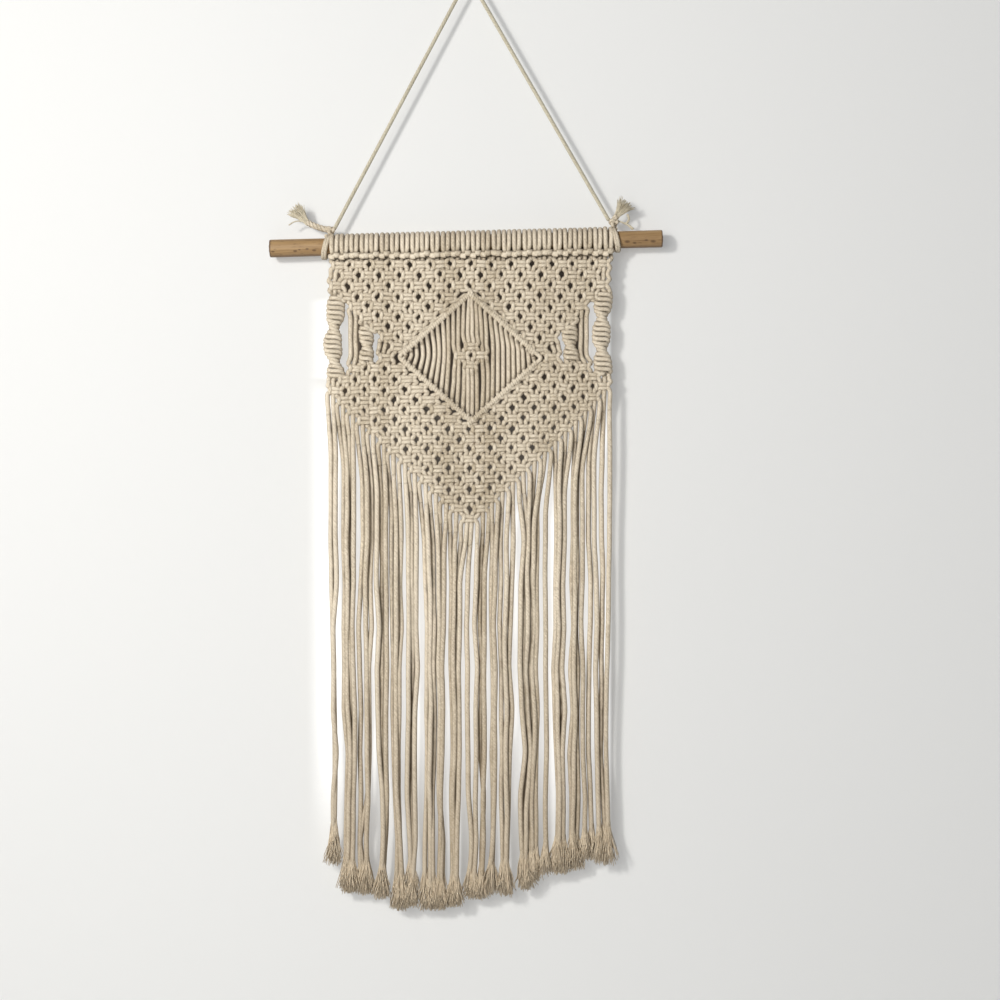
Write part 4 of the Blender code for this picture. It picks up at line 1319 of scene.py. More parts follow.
@dataclass
class HangingCord:
    """The taut cord: two straight legs that meet in one round bend over the nail.

    Attributes:
        radius: Radius of the cord.
        bend_radius: Radius of the bend.
        left_start: (x, z) where the left leg starts.
        right_start: The same for the right leg.
        legs_meet: (x, z) where the two legs would meet without the bend.
        step: Distance between two points of a leg.
        depth: Depth of the cord.
    """

    radius: float = 0.00145
    bend_radius: float = 0.0060
    left_start: Flat = (-0.10380, -0.18901)
    right_start: Flat = (0.10870, -0.18241)
    legs_meet: Flat = (0.0, 0.0064)
    step: float = 0.0085
    depth: float = -0.0020

    def line(self) -> Array:
        """Points of the route, the same as those of the cord's solid."""
        left, right = np.array(self.left_start), np.array(self.right_start)
        meet = np.array(self.legs_meet)
        to_left, to_right = unit(left - meet), unit(right - meet)
        half_angle = 0.5 * math.acos(float(np.dot(to_left, to_right)))
        tangent = self.bend_radius / math.tan(half_angle)
        centre = meet + unit(to_left + to_right) * self.bend_radius / math.sin(half_angle)
        first = meet + to_left * tangent - centre
        angle = math.atan2(first[1], first[0])
        turn = angle - (math.pi - 2.0 * half_angle) * np.arange(9) / 8
        bend = centre + self.bend_radius * np.stack((np.cos(turn), np.sin(turn)), axis=1)

        def leg(start: Array, end: Array) -> Array:
            """Even points from a start to just before an end."""
            steps = max(2, int(np.linalg.norm(end - start) / self.step))
            return start + (end - start) * np.arange(steps)[:, None] / steps

        flat = np.vstack((leg(left, bend[0]), bend, leg(right, bend[-1])[::-1]))
        return np.stack((flat[:, 0], np.full(len(flat), self.depth), flat[:, 1]), axis=1)

    def build(self) -> tuple[Item, Array]:
        """Make the cord as a tube in place of its solid; returns it with its line."""
        fine = even_line(self.line(), 1.6 * MM)
        tubes = Tubes(sides=14)
        tubes.add_all(fine[None], self.radius)
        piece = tubes.mesh("hanging_cord")
        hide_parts("hanger_cord")
        return piece, fine


@dataclass
class TiedEnd:
    """One end of the hanging cord: turns round the dowel, a knot and an untwisted tail.

    Attributes:
        layout: Shared sizes.
        side: -1 for the left end, 1 for the right.
        ring_x: Middle of the turns round the dowel.
        knot: (x, z) of the knot.
        tail: (x, z) points of the laid part of the tail.
        tip: (x, z) of the end of the open part.
        brush_spread: Half-width of the open part.
        strays: Single yarns, each as its radius in millimetres and its (x, z) points.
        radius: Radius of the cord.
        depth: Depth of the knot and the tail.
        lean: How far the turns lean outwards at the dowel's underside.
        apart: How far the turns lie apart.
        bow: How far they bow outwards at the front.
        knot_size: Half-size of the knot along x, y and z.
        rope_pitch: Length of one full turn of the tail's plies.
        ply_offset: Distance of a ply from the tail's line.
        ply_radius: Radius of a ply.
        yarns: Fine yarns in the open part.
        yarn_radius: Radius of a fine yarn.
        taper: How a yarn's thickness falls off along it.
    """

    layout: Layout
    side: int
    ring_x: float
    knot: Flat
    tail: tuple[Flat, ...]
    tip: Flat
    brush_spread: float
    strays: tuple[tuple[float, tuple[Flat, ...]], ...]
    radius: float = 1.5 * MM
    depth: float = -0.0020
    lean: float = 1.4 * MM
    apart: float = 1.55 * MM
    bow: float = 0.8 * MM
    knot_size: tuple[float, float, float] = (2.9 * MM, 1.9 * MM, 2.5 * MM)
    rope_pitch: float = 9.5 * MM
    ply_offset: float = 1.15 * MM
    ply_radius: float = 1.32 * MM
    yarns: int = 110
    yarn_radius: float = 0.32 * MM
    taper: tuple[float, ...] = (1.0, 1.0, 1.0, 0.95, 0.85, 0.75, 0.5)

    def turns(self) -> Array:
        """Stations of the cord's turns round the dowel, bowed outwards at the front."""
        turn = np.radians(np.linspace(70.0, -640.0, 60))
        share = np.linspace(1.0, -1.0, 60)
        bow = np.clip(np.cos(turn + math.radians(35.0)), 0.0, 1.0)
        x = self.ring_x + self.side * (
            self.bow * bow - self.apart * share - self.lean * np.sin(turn))
        reach = self.layout.dowel_radius + self.radius + 0.1 * MM
        return np.stack((x, -reach * np.cos(turn),
                         self.layout.dowel_z(self.ring_x) + reach * np.sin(turn)), axis=1)

    def knot_line(self) -> Array:
        """Stations of a small overhand knot.

        The knot is the trefoil: x is sin t plus twice sin 2t, z is cos t minus twice cos 2t and
        the depth is minus sin 3t, each scaled.
        """
        t = np.linspace(0.35, TURN + 0.15, 46)
        x = (np.sin(t) + 2.0 * np.sin(2.0 * t)) / 3.0
        z = (np.cos(t) - 2.0 * np.cos(2.0 * t)) / 3.0
        trefoil = np.stack((x, -np.sin(3.0 * t), z), axis=1)
        return (self.knot[0], self.depth, self.knot[1]) + trefoil * self.knot_size

    def at_depth(self, *points: Flat) -> Array:
        """(x, z) points as (x, y, z) at the tail's depth."""
        return np.array([(x, self.depth, z) for x, z in points])

    def named(self, tubes: Tubes, name: str) -> Item:
        """Make a piece of this end in place of the end's solid."""
        side = "left" if self.side < 0 else "right"
        piece = tubes.mesh(name + side)
        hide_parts("hanger_tie_" + side)
        return piece

    def build(self) -> Item:
        """Make the turns, the knot and the laid tail as one piece."""
        tubes = Tubes(sides=10)
        for line in (self.turns(), self.knot_line()):
            tubes.add_all(even_line(line, 1.0 * MM)[None], self.radius)
        axis = even_line(self.at_depth(*self.tail), 0.7 * MM)
        plies = laid_rope(axis, 3, self.ply_offset, self.rope_pitch, 0.4)
        tubes.add_all(plies, self.ply_radius, np.array((0.35, 0.5, 0.65)))
        return self.named(tubes, "cord_end_")

    def build_yarns(self, rng: np.random.Generator) -> Item:
        """Make the open yarns of the tail as one piece."""
        start, end = self.at_depth(self.tail[-1], self.tip)
        length = np.linalg.norm(end - start)
        lines = fray_out(start[None], (end - start)[None] / length, np.array((length,)),
                         2.0 * MM, np.array((self.brush_spread,)), self.yarns, rng)
        fray = Tubes(sides=4)
        fray.add_all(lines, np.full(lines.shape[:2], self.yarn_radius) * self.taper,
                     np.clip(rng.normal(0.5, 0.22, len(lines)), 0.0, 1.0))
        for width, points in self.strays:
            line = even_line(self.at_depth(*points), 1.0 * MM)
            for _ in range(3):
                shift = rng.normal(0.0, 0.25 * MM, 3)
                own = line + shift * np.linspace(0.2, 1.6, len(line))[:, None]
                fray.add_all(own[None], width * MM)
        return self.named(fray, "cord_end_yarns_")


# ---------------------------------------------------------------- dowel

@dataclass
class Dowel:
    """The wooden rod, a little uneven, with two rough sawn ends.

    Attributes:
        layout: Shared sizes.
        sides: Points round the rod.
        rings: Rings between the two rounded ends.
    """

    layout: Layout
    sides: int = 72
    rings: int = 90

    def build(self, rng: np.random.Generator) -> Item:
        """Make the rod as rings carried along its axis.

        A point lies at the radius times the cosine and sine of its turn from the axis; the
        radius swells and shrinks slowly along the rod and falls off over the last half
        millimetre, and the end faces are rings that close on the axis.
        """
        (x0, z0), (x1, z1) = self.layout.dowel_left, self.layout.dowel_right
        length = math.hypot(x1 - x0, z1 - z0)
        axis = np.array(((x1 - x0) / length, 0.0, (z1 - z0) / length))
        up = np.array((-axis[2], 0.0, axis[0]))
        body = np.concatenate(([0.0, 0.0, 0.0, 0.35 * MM, 1.0 * MM],
                               np.linspace(1.4 * MM, length - 1.4 * MM, self.rings),
                               [length - 1.0 * MM, length - 0.35 * MM, length, length, length]))
        rim = np.array((0.02, 0.5, 0.88, 0.955, 1.0))
        shares = np.concatenate((rim, np.ones(self.rings), rim[::-1]))
        turn = np.arange(self.sides) * TURN / self.sides
        phase = rng.uniform(0.0, TURN, 4)
        slow = (0.10 * MM * np.sin(38.0 * body[:, None] + phase[0])
                + 0.06 * MM * np.sin(2.0 * turn[None, :] + 60.0 * body[:, None] + phase[1])
                + 0.04 * MM * np.sin(5.0 * turn[None, :] - 90.0 * body[:, None] + phase[2]))
        radius = shares[:, None] * (self.layout.dowel_radius - 0.12 * MM + slow)
        rough = 0.16 * MM * np.sin(7.0 * turn + phase[3]) * np.sin(3.0 * turn + 1.0)
        inward = np.where(body < 0.5 * length, 1.0, -1.0)
        ends = np.minimum(body, length - body) < 0.1 * MM
        along = body[:, None] + (ends * inward)[:, None] * (0.2 * MM + rough[None, :])
        points = (np.array((x0, 0.0, z0)) + along[:, :, None] * axis
                  + (radius * np.cos(turn))[:, :, None] * up
                  + (radius * np.sin(turn))[:, :, None] * np.array((0.0, -1.0, 0.0)))
        tubes = Tubes(sides=self.sides)
        tubes.add_rings(points, np.linspace(0.0, 1.0, len(points)))
        piece = tubes.mesh("wooden_dowel")
        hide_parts("dowel")
        return piece


# ---------------------------------------------------------------- finishes

class Sockets(Enum):
    """Kinds of socket that the shader groups use."""

    NUMBER = "NodeSocketFloat"
    COLOUR = "NodeSocketColor"
    VECTOR = "NodeSocketVector"


class Graph:
    """Small helper that adds and links the nodes of one node tree.

    Wherever a value is asked for, it may be a number, a colour or another node's output.
    """

    def __init__(self, tree: bpy.types.NodeTree) -> None:
        """Work on a tree; its new nodes stand in one row."""
        self.tree = tree
        self.column = 0

    def add(self, kind: str, **settings: object) -> bpy.types.Node:
        """Add a node and set its properties.

        Args:
            kind: Blender's name of the node.
            settings: Properties to set on it.

        Returns:
            The node.
        """
        node = self.tree.nodes.new(kind)
        node.location = (180 * self.column, 0)
        self.column += 1
        for name, value in settings.items():
            setattr(node, name, value)
        return node

    def put(self, value: object, socket: Socket) -> None:
        """Link an output to a socket, or set the socket to a constant."""
        if isinstance(value, Socket):
            self.tree.links.new(value, socket)
        else:
            socket.default_value = value

    def fill(self, node: bpy.types.Node, values: dict[str, object]) -> bpy.types.Node:
        """Put a value in each named input of a node, and return the node."""
        for name, value in values.items():
            self.put(value, node.inputs[name])
        return node

    def maths(self, operation: str, *values: object, clamp: bool = False) -> Socket:
        """A Math node on some values."""
        node = self.add("ShaderNodeMath", operation=operation, use_clamp=clamp)
        for socket, value in zip(node.inputs, values):
            self.put(value, socket)
        return node.outputs[0]

    def times(self, first: object, second: object) -> Socket:
        """The product of two values."""
        return self.maths("MULTIPLY", first, second)

    def less(self, first: object, second: object, clamp: bool = False) -> Socket:
        """The first value less the second."""
        return self.maths("SUBTRACT", first, second, clamp=clamp)

    def plus(self, base: object, value: object, gain: object, clamp: bool = False) -> Socket:
        """A base plus a value times a gain."""
        return self.maths("MULTIPLY_ADD", value, gain, base, clamp=clamp)

    def past(self, value: object, limit: object, gain: float) -> Socket:
        """How far a value is past a limit, times a gain, kept from 0 to 1."""
        return self.maths("MULTIPLY", self.less(value, limit), gain, clamp=True)

    def fade(self, value: Socket, none: float, full: float) -> Socket:
        """A smooth step from 0 where a value is none to 1 where it is full."""
        step = self.add("ShaderNodeMapRange", interpolation_type="SMOOTHSTEP")
        return self.fill(step, {"Value": value, "From Min": none, "From Max": full}).outputs[0]

    def split(self, vector: Socket) -> list[Socket]:
        """The three coordinates of a vector."""
        return list(self.fill(self.add("ShaderNodeSeparateXYZ"), {"Vector": vector}).outputs)

    def mix(self, factor: object, first: object, second: object) -> Socket:
        """A mix of two colours."""
        node = self.add("ShaderNodeMix", data_type="RGBA")
        for place, value in ((0, factor), (6, first), (7, second)):
            self.put(value, node.inputs[place])
        return node.outputs[2]

    def stain(self, base: object, mask: Socket, share: float, colour: object) -> Socket:
        """A colour laid over another by a share of a mask."""
        return self.mix(self.times(mask, share), base, colour)

    def noise(self, vector: Socket, scale: float, detail: float = 3.0,
              roughness: float = 0.55) -> Socket:
        """A noise texture's value at a vector."""
        return self.fill(self.add("ShaderNodeTexNoise"), {
            "Vector": vector, "Scale": scale, "Detail": detail,
            "Roughness": roughness}).outputs["Fac"]

    def mapped(self, vector: Socket, key: str, amount: tuple[float, float, float]) -> Socket:
        """A vector stretched or turned through a Mapping node's Scale or Rotation."""
        return self.fill(self.add("ShaderNodeMapping"),
                         {"Vector": vector, key: amount}).outputs[0]

    def read(self, name: str) -> Socket:
        """The value of a mesh attribute."""
        return self.add("ShaderNodeAttribute", attribute_name=name).outputs["Fac"]

    def bump(self, height: Socket, strength: float, distance: float) -> Socket:
        """A normal that a height disturbs."""
        return self.fill(self.add("ShaderNodeBump"), {
            "Height": height, "Strength": strength, "Distance": distance}).outputs[0]


def new_material(name: str) -> tuple[bpy.types.Material, Graph, bpy.types.Node]:
    """Start a material; returns it with a graph on its nodes and its surface shader."""
    material = bpy.data.materials.new(name)
    material.use_nodes = True
    return material, Graph(material.node_tree), material.node_tree.nodes["Principled BSDF"]


def new_group(name: str, inputs: dict[str, Sockets], outputs: dict[str, Sockets]
              ) -> tuple[Graph, bpy.types.NodeOutputs, bpy.types.Node]:
    """Start a shader node group with named sockets.

    Args:
        name: The group's name.
        inputs: Its inputs and their kinds.
        outputs: Its outputs and their kinds.

    Returns:
        A graph on it, what it is given, and the node that takes what it makes.
    """
    tree = bpy.data.node_groups.new(name, "ShaderNodeTree")
    for way, sockets in (("INPUT", inputs), ("OUTPUT", outputs)):
        for socket, kind in sockets.items():
            tree.interface.new_socket(socket, in_out=way, socket_type=kind.value)
    graph = Graph(tree)
    return graph, graph.add("NodeGroupInput").outputs, graph.add("NodeGroupOutput")


def twist_group() -> bpy.types.NodeTree:
    """The lay of a cord: slanting ridges and streaks of fibre on its UV map.

    The phase is plies times u plus slope times v; a ridge is the cosine of the phase.  The
    streaks are noise on a cylinder that turns with the lay, so they follow it without a seam.
    """
    graph, given, made = new_group(
        "cord_lay",
        {"UV": Sockets.VECTOR, "Plies": Sockets.NUMBER, "Slope": Sockets.NUMBER,
         "Position": Sockets.VECTOR},
        {"Height": Sockets.NUMBER, "Groove": Sockets.NUMBER, "Fibre": Sockets.NUMBER})
    u, v, _ = graph.split(given["UV"])
    lay = graph.maths("ADD", graph.times(u, given["Plies"]), graph.times(v, given["Slope"]))
    wander = graph.noise(given["Position"], 260.0, 1.0)
    phase = graph.maths("ADD", lay, graph.times(wander, 0.8))
    ridge = graph.plus(0.5, graph.maths("COSINE", graph.times(phase, TURN)), 0.5)
    turn = graph.times(graph.maths("DIVIDE", phase, given["Plies"]), TURN)
    rolled = graph.fill(graph.add("ShaderNodeCombineXYZ"), {
        "X": graph.maths("COSINE", turn), "Y": graph.maths("SINE", turn),
        "Z": graph.times(v, 0.45)})
    streak = graph.noise(rolled.outputs[0], 3.4, 3.0, 0.62)
    fibre = graph.noise(graph.mapped(given["Position"], "Scale", (1.0, 1.0, 0.6)),
                        2300.0, 2.0, 0.65)
    height = graph.plus(graph.times(ridge, 0.75), streak, 2.2)
    # painted shade in the hollows between the ridges; Groove also carries darker streaks of fibre
    hollow_shade = graph.times(graph.less(1.0, ridge), 0.42)
    graph.fill(made, {
        "Height": graph.plus(height, fibre, 0.5),
        "Groove": graph.plus(hollow_shade, graph.less(0.5, streak), 3.2, clamp=True),
        "Fibre": fibre})
    return graph.tree


def tone_group() -> bpy.types.NodeTree:
    """A natural fibre's colour from cord to cord and along it; painted shade where shut in."""
    graph, given, made = new_group(
        "fibre_tone",
        {"Light": Sockets.COLOUR, "Dark": Sockets.COLOUR, "Groove Colour": Sockets.COLOUR,
         "Groove": Sockets.NUMBER, "Tone": Sockets.NUMBER, "Fibre": Sockets.NUMBER,
         "Crevice": Sockets.NUMBER, "Position": Sockets.VECTOR},
        {"Colour": Sockets.COLOUR})
    slow = graph.noise(given["Position"], 45.0, 2.0)
    blotch = graph.noise(given["Position"], 620.0, 2.0, 0.6)
    share: float | Socket = 0.30
    for value, middle, gain in ((slow, 0.5, 0.8), (blotch, 0.5, 1.5),
                                (given["Tone"], 0.45, 0.95)):
        share = graph.plus(share, graph.less(value, middle), gain)
    share = graph.plus(share, graph.less(given["Fibre"], 0.5), 2.2, clamp=True)
    colour = graph.mix(share, given["Light"], given["Dark"])
    # painted shade in the hollows of the lay, with darker fibre streaks, in the groove colour
    colour = graph.stain(colour, given["Groove"], 0.45, given["Groove Colour"])
    # painted shade where the cords crowd together: the colour goes towards a deep brown
    colour = graph.stain(colour, graph.maths("POWER", given["Crevice"], 1.2), 0.7,
                         (0.085, 0.055, 0.030, 1.0))
    # the cords turn gradually darker and browner below a height of -0.48 m, towards their free
    # ends
    darker_below = graph.past(-0.48, graph.split(given["Position"])[2], 2.2)
    graph.fill(made, {"Colour": graph.mix(darker_below, colour, (0.33, 0.245, 0.15, 1.0))})
    return graph.tree


@dataclass(frozen=True)
class CottonFinish:
    """Matt natural cotton cord.

    Attributes:
        name: The material's name.
        light: Colour of its pale fibres.
        dark: Colour of its darker fibres.
        groove: Colour of the painted shade between the yarns, and of darker fibre streaks.
        plies: Ridges round the cord.
        slope: Ridges passed in one circumference along the cord.
        depth: Height of the ridges, metres.
        sheen: Weight of the fuzz.
        lay: Whether the lay of the yarns shows; a single yarn has none.
        rim: How much painted shade, in the rim colour, darkens the cord where it turns away.
        rim_shade_colour: Colour of that painted shade where the cord turns away.
    """

    name: str
    light: Colour
    dark: Colour
    groove: Colour
    plies: float = 5.0
    slope: float = 5.0
    depth: float = 0.16 * MM
    sheen: float = 0.25
    lay: bool = True
    rim: float = 0.0
    rim_shade_colour: Colour = (0.20, 0.145, 0.085, 1.0)

    def make(self, twist: bpy.types.NodeTree, tone: bpy.types.NodeTree) -> bpy.types.Material:
        """Build the material from the shared groups."""
        material, graph, shader = new_material(self.name)
        place = graph.add("ShaderNodeTexCoord").outputs["Object"]
        lay = graph.fill(graph.add("ShaderNodeGroup", node_tree=twist), {
            "UV": graph.add("ShaderNodeUVMap", uv_map="cord").outputs[0], "Position": place,
            "Plies": self.plies, "Slope": self.slope}).outputs
        colour = graph.fill(graph.add("ShaderNodeGroup", node_tree=tone), {
            "Light": self.light, "Dark": self.dark, "Groove Colour": self.groove,
            "Groove": lay["Groove"] if self.lay else 0.0, "Tone": graph.read("tone"),
            "Fibre": lay["Fibre"], "Crevice": graph.read("crevice"), "Position": place})
        # painted shade: the colour goes towards the rim colour where the surface turns away from
        # the eye
        facing = graph.add("ShaderNodeLayerWeight").outputs["Facing"]
        graph.fill(shader, {
            "Base Color": graph.stain(colour.outputs["Colour"], graph.maths("POWER", facing, 1.8),
                                      self.rim, self.rim_shade_colour),
            "Normal": graph.bump(lay["Height" if self.lay else "Fibre"], 0.8, self.depth),
            "Roughness": 0.95, "Specular IOR Level": 0.15, "Sheen Weight": self.sheen,
            "Sheen Roughness": 0.6, "Sheen Tint": (1.0, 0.95, 0.86, 1.0)})
        return material


@dataclass(frozen=True)
class WoodFinish:
    """Worn, lightly oiled wood with grain along the rod, pores and small knots.

    Attributes:
        name: The material's name.
        light: Colour of the pale wood.
        dark: Colour of the grain.
        warm: Colour of some patches.
        pore_and_shade: Colour of pores and knots, and of painted shade along the underside and a
            band on top.
        sawn: Colour of the two ends.
        tilt: Turn of the rod about the depth, radians.
        specks: Small knots: x, z and size.
    """

    name: str = "worn_dowel_wood"
    light: Colour = (0.45, 0.29, 0.13, 1.0)
    dark: Colour = (0.16, 0.09, 0.032, 1.0)
    warm: Colour = (0.34, 0.20, 0.10, 1.0)
    pore_and_shade: Colour = (0.09, 0.045, 0.02, 1.0)
    sawn: Colour = (0.10, 0.055, 0.03, 1.0)
    tilt: float = 0.0252
    specks: tuple[tuple[float, float, float], ...] = (
        (-0.1510, -0.2072, 1.1), (-0.1338, -0.2068, 1.3), (-0.1305, -0.2058, 0.8),
        (-0.1245, -0.2052, 1.0), (-0.1192, -0.2062, 1.3), (0.1228, -0.1995, 1.7),
        (0.1285, -0.2004, 1.1), (0.1375, -0.1984, 1.1), (0.1428, -0.1992, 1.6))

    def make(self) -> bpy.types.Material:
        """Build the material."""
        material, graph, shader = new_material(self.name)
        place = graph.add("ShaderNodeTexCoord").outputs["Object"]
        along = graph.mapped(place, "Rotation", (0.0, self.tilt, 0.0))
        coarse, fine, patch, pores = (
            graph.noise(graph.mapped(along, "Scale", scale), 1.0, detail, roughness)
            for scale, detail, roughness in (
                ((9.0, 150.0, 260.0), 4.0, 0.6), ((60.0, 900.0, 1500.0), 3.0, 0.6),
                ((22.0, 60.0, 60.0), 2.0, 0.55), ((160.0, 1500.0, 1500.0), 1.0, 0.55)))
        grain = graph.maths("ADD", graph.times(coarse, 0.62), graph.times(fine, 0.38))
        share = graph.plus(0.36, graph.less(grain, 0.5), 3.6, clamp=True)
        base = graph.mix(share, self.light, self.dark)
        base = graph.stain(base, patch, 0.45, self.warm)
        pore_mask = graph.past(pores, 0.62, 9.0)
        base = graph.stain(base, pore_mask, 0.6, self.pore_and_shade)
        x, _, z = graph.split(place)
        for speck_x, speck_z, size in self.specks:
            wide = graph.times(graph.less(x, speck_x), 1.0 / (1.6 * size * MM))
            tall = graph.times(graph.less(z, speck_z), 1.0 / (0.75 * size * MM))
            spot = graph.maths("ADD", graph.times(wide, wide), graph.times(tall, tall))
            base = graph.stain(base, graph.less(1.0, spot, clamp=True), 0.85, self.pore_and_shade)
        # painted shade along the underside, and a weaker darker band along the top
        height = graph.split(along)[2]
        underside_shade_and_top_band = graph.maths("MAXIMUM", graph.times(graph.past(-0.2054, height, 750.0), 0.62),
                           graph.times(graph.past(height, -0.1943, 500.0), 0.35))
        base = graph.mix(underside_shade_and_top_band, base, self.pore_and_shade)
        # the two sawn ends are darker
        ends = graph.maths("MAXIMUM", graph.past(-0.1524, x, 900.0),
                           graph.past(x, 0.1489, 900.0))
        worn = graph.less(grain, graph.times(pore_mask, 0.6))
        graph.fill(shader, {
            "Base Color": graph.stain(base, ends, 0.88, self.sawn),
            "Roughness": graph.plus(0.44, grain, 0.22),
            "Normal": graph.bump(worn, 0.5, 0.12 * MM)})
        return material


def dress(piece: Item, material: bpy.types.Material) -> None:
    """Give a piece its material and its slot, and let it ride on the one body."""
    piece.data.materials.clear()
    piece.data.materials.append(material)
    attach(piece, "root")
    log.info("%s: %d faces", piece.name, len(piece.data.polygons))


# ---------------------------------------------------------------- the whole hanging

@dataclass
class WallHanging:
    """The cords in the order in which they are worked.

    Attributes:
        layout: Shared sizes.
        cord_radius: Radius of the heading's, the sinnets' and the plain cords.
        net_radius: Radius of the net's cords.
        strand_radius: Radius of the diamond's cords.
        seed: Seed of the small irregularities.
    """

    layout: Layout
    cord_radius: float = 1.9 * MM
    net_radius: float = 1.86 * MM
    strand_radius: float = 1.72 * MM
    seed: int = 41

    def sinnets(self) -> list[Sinnet]:
        """The four spirals, with their sizes."""
        return [
            Sinnet(Part.SINNET_OUTER_LEFT, (0, 1, 2, 3),
                   ((-0.1025, -0.2412), (-0.1027, -0.2560), (-0.1053, -0.2780),
                    (-0.1021, -0.3047)), 7.5 * MM, 3.9 * MM,
                   lobes=(-0.2525, -0.2796, -0.3047), knot_pitch=3.75 * MM),
            Sinnet(Part.SINNET_OUTER_RIGHT, (52, 53, 54, 55),
                   ((0.1050, -0.2382), (0.1033, -0.2565), (0.1026, -0.2770),
                    (0.1046, -0.3016)), 7.5 * MM, 3.9 * MM,
                   lobes=(-0.2459, -0.2707, -0.2954), knot_pitch=3.85 * MM),
            Sinnet(Part.SINNET_INNER_LEFT, (6, 7, 8, 9),
                   ((-0.0799, -0.2645), (-0.0781, -0.2803), (-0.0795, -0.2931)),
                   6.0 * MM, 2.6 * MM, lobes=(-0.2722, -0.2885), knot_pitch=3.9 * MM),
            Sinnet(Part.SINNET_INNER_RIGHT, (46, 47, 48, 49),
                   ((0.0782, -0.2637), (0.0788, -0.2807), (0.0801, -0.2923)),
                   6.6 * MM, 2.6 * MM, lobes=(-0.2707, -0.2892), knot_pitch=3.9 * MM),
        ]

    def build(self, cotton: bpy.types.Material, loose: bpy.types.Material) -> None:
        """Route every cord from the top down, then make the pieces.

        Args:
            cotton: Finish of the cords.
            loose: Finish of the frayed yarns.
        """
        rng = np.random.default_rng(self.seed)
        lay = self.layout
        tones = np.repeat(np.clip(rng.normal(0.45, 0.2, lay.cords // 2), 0.0, 1.0), 2)
        routes, net, fringe = Routes(lay), Net(lay), Fringe(lay)
        Heading(lay).route(routes, rng)
        for row in range(1, 10):
            net.route_row(routes, row, rng)
        sinnets = self.sinnets()
        for sinnet in sinnets:
            sinnet.route(routes, self.cord_radius)
        PlainCords(lay).route(routes, rng)
        Diamond(lay).route(routes, rng)
        for row in range(10, lay.last_row + 1):
            net.route_row(routes, row, rng)
        fringe.route(routes, rng)
        routes.finish()
        log.info("routed %d cords", lay.cords)
        # each piece's part, name, solids, radius of its cords and weight of the painted shade
        # in its crevices
        gathered = [
            (Part.HEADING, "lark_heads", ["heading"], self.cord_radius, 1.0),
            (Part.UPPER_NET, "knotted_net_above", ["upper_net"], self.net_radius, 0.6),
            (Part.LOWER_NET, "knotted_net_below", ["lower_net"], self.net_radius, 0.6),
            (Part.DIAMOND, "hitched_diamond", ["diamond"], self.strand_radius, 0.55)]
        for part in (sinnet.part for sinnet in sinnets):
            node = part.name.lower()
            gathered.append((part, "spiral_" + node, [node], self.cord_radius, 0.5))
        for part, side in ((Part.PLAIN_LEFT, "left"), (Part.PLAIN_RIGHT, "right")):
            nodes = [f"plain_cord_{side}_{number}" for number in range(1, 5)]
            gathered.append((part, "plain_cords_" + side, nodes, self.cord_radius, 1.0))
        pieces = []
        for part, name, nodes, radius, weight in gathered:
            sides = 9 if part == Part.HEADING else 8
            piece = routes.gather(part, radius, tones, sides).mesh(name, routes.crowd, weight)
            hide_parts(*nodes)
            pieces.append(piece)
        for piece in pieces + fringe.build(routes, tones, rng):
            dress(piece, loose if "brushes" in piece.name else cotton)


def build_hanger(layout: Layout, cotton: bpy.types.Material, worn: bpy.types.Material,
                 loose: bpy.types.Material) -> None:
    """Args:
        layout: Shared sizes.
        cotton: Finish of the cord.
        worn: Finish of its tied ends.
        loose: Finish of its open yarns.
    """
    rng = np.random.default_rng(7)
    cord, line = HangingCord().build()
    left = TiedEnd(
        layout, -1, -0.1101, (-0.1068, -0.1903),
        ((-0.1065, -0.1902), (-0.1130, -0.1888), (-0.1193, -0.1868), (-0.1250, -0.1840)),
        (-0.1353, -0.1735), 5.6 * MM,
        ((0.52, ((-0.1245, -0.1846), (-0.1300, -0.1832), (-0.1352, -0.1836),
                 (-0.1395, -0.1862))),))
    right = TiedEnd(
        layout, 1, 0.1140, (0.1126, -0.1844),
        ((0.1120, -0.1842), (0.1135, -0.1812), (0.1150, -0.1790)),
        (0.1230, -0.1692), 6.6 * MM,
        ((0.58, ((0.1160, -0.1826), (0.1195, -0.1842), (0.1224, -0.1846), (0.1246, -0.1818),
                 (0.1236, -0.1776))),
         (0.62, ((0.1180, -0.1836), (0.1238, -0.1862), (0.1275, -0.1896)))))
    tied, yarns = [], []
    for end in (left, right):
        tied.append(end.build())
        yarns.append(end.build_yarns(rng))
    for pieces, material in (([cord], cotton), (tied, worn), (yarns, loose)):
        for piece in pieces:
            dress(piece, material)


# ---------------------------------------------------------------- stage, lights and camera

def plain_plane(name: str, corners: tuple[tuple[float, float, float], ...],
                material: bpy.types.Material) -> None:
    """Add one flat face that belongs to the stage."""
    mesh = bpy.data.meshes.new(name)
    mesh.from_pydata(corners, [], [range(len(corners))])
    mesh.materials.append(material)
    as_object(name, mesh)


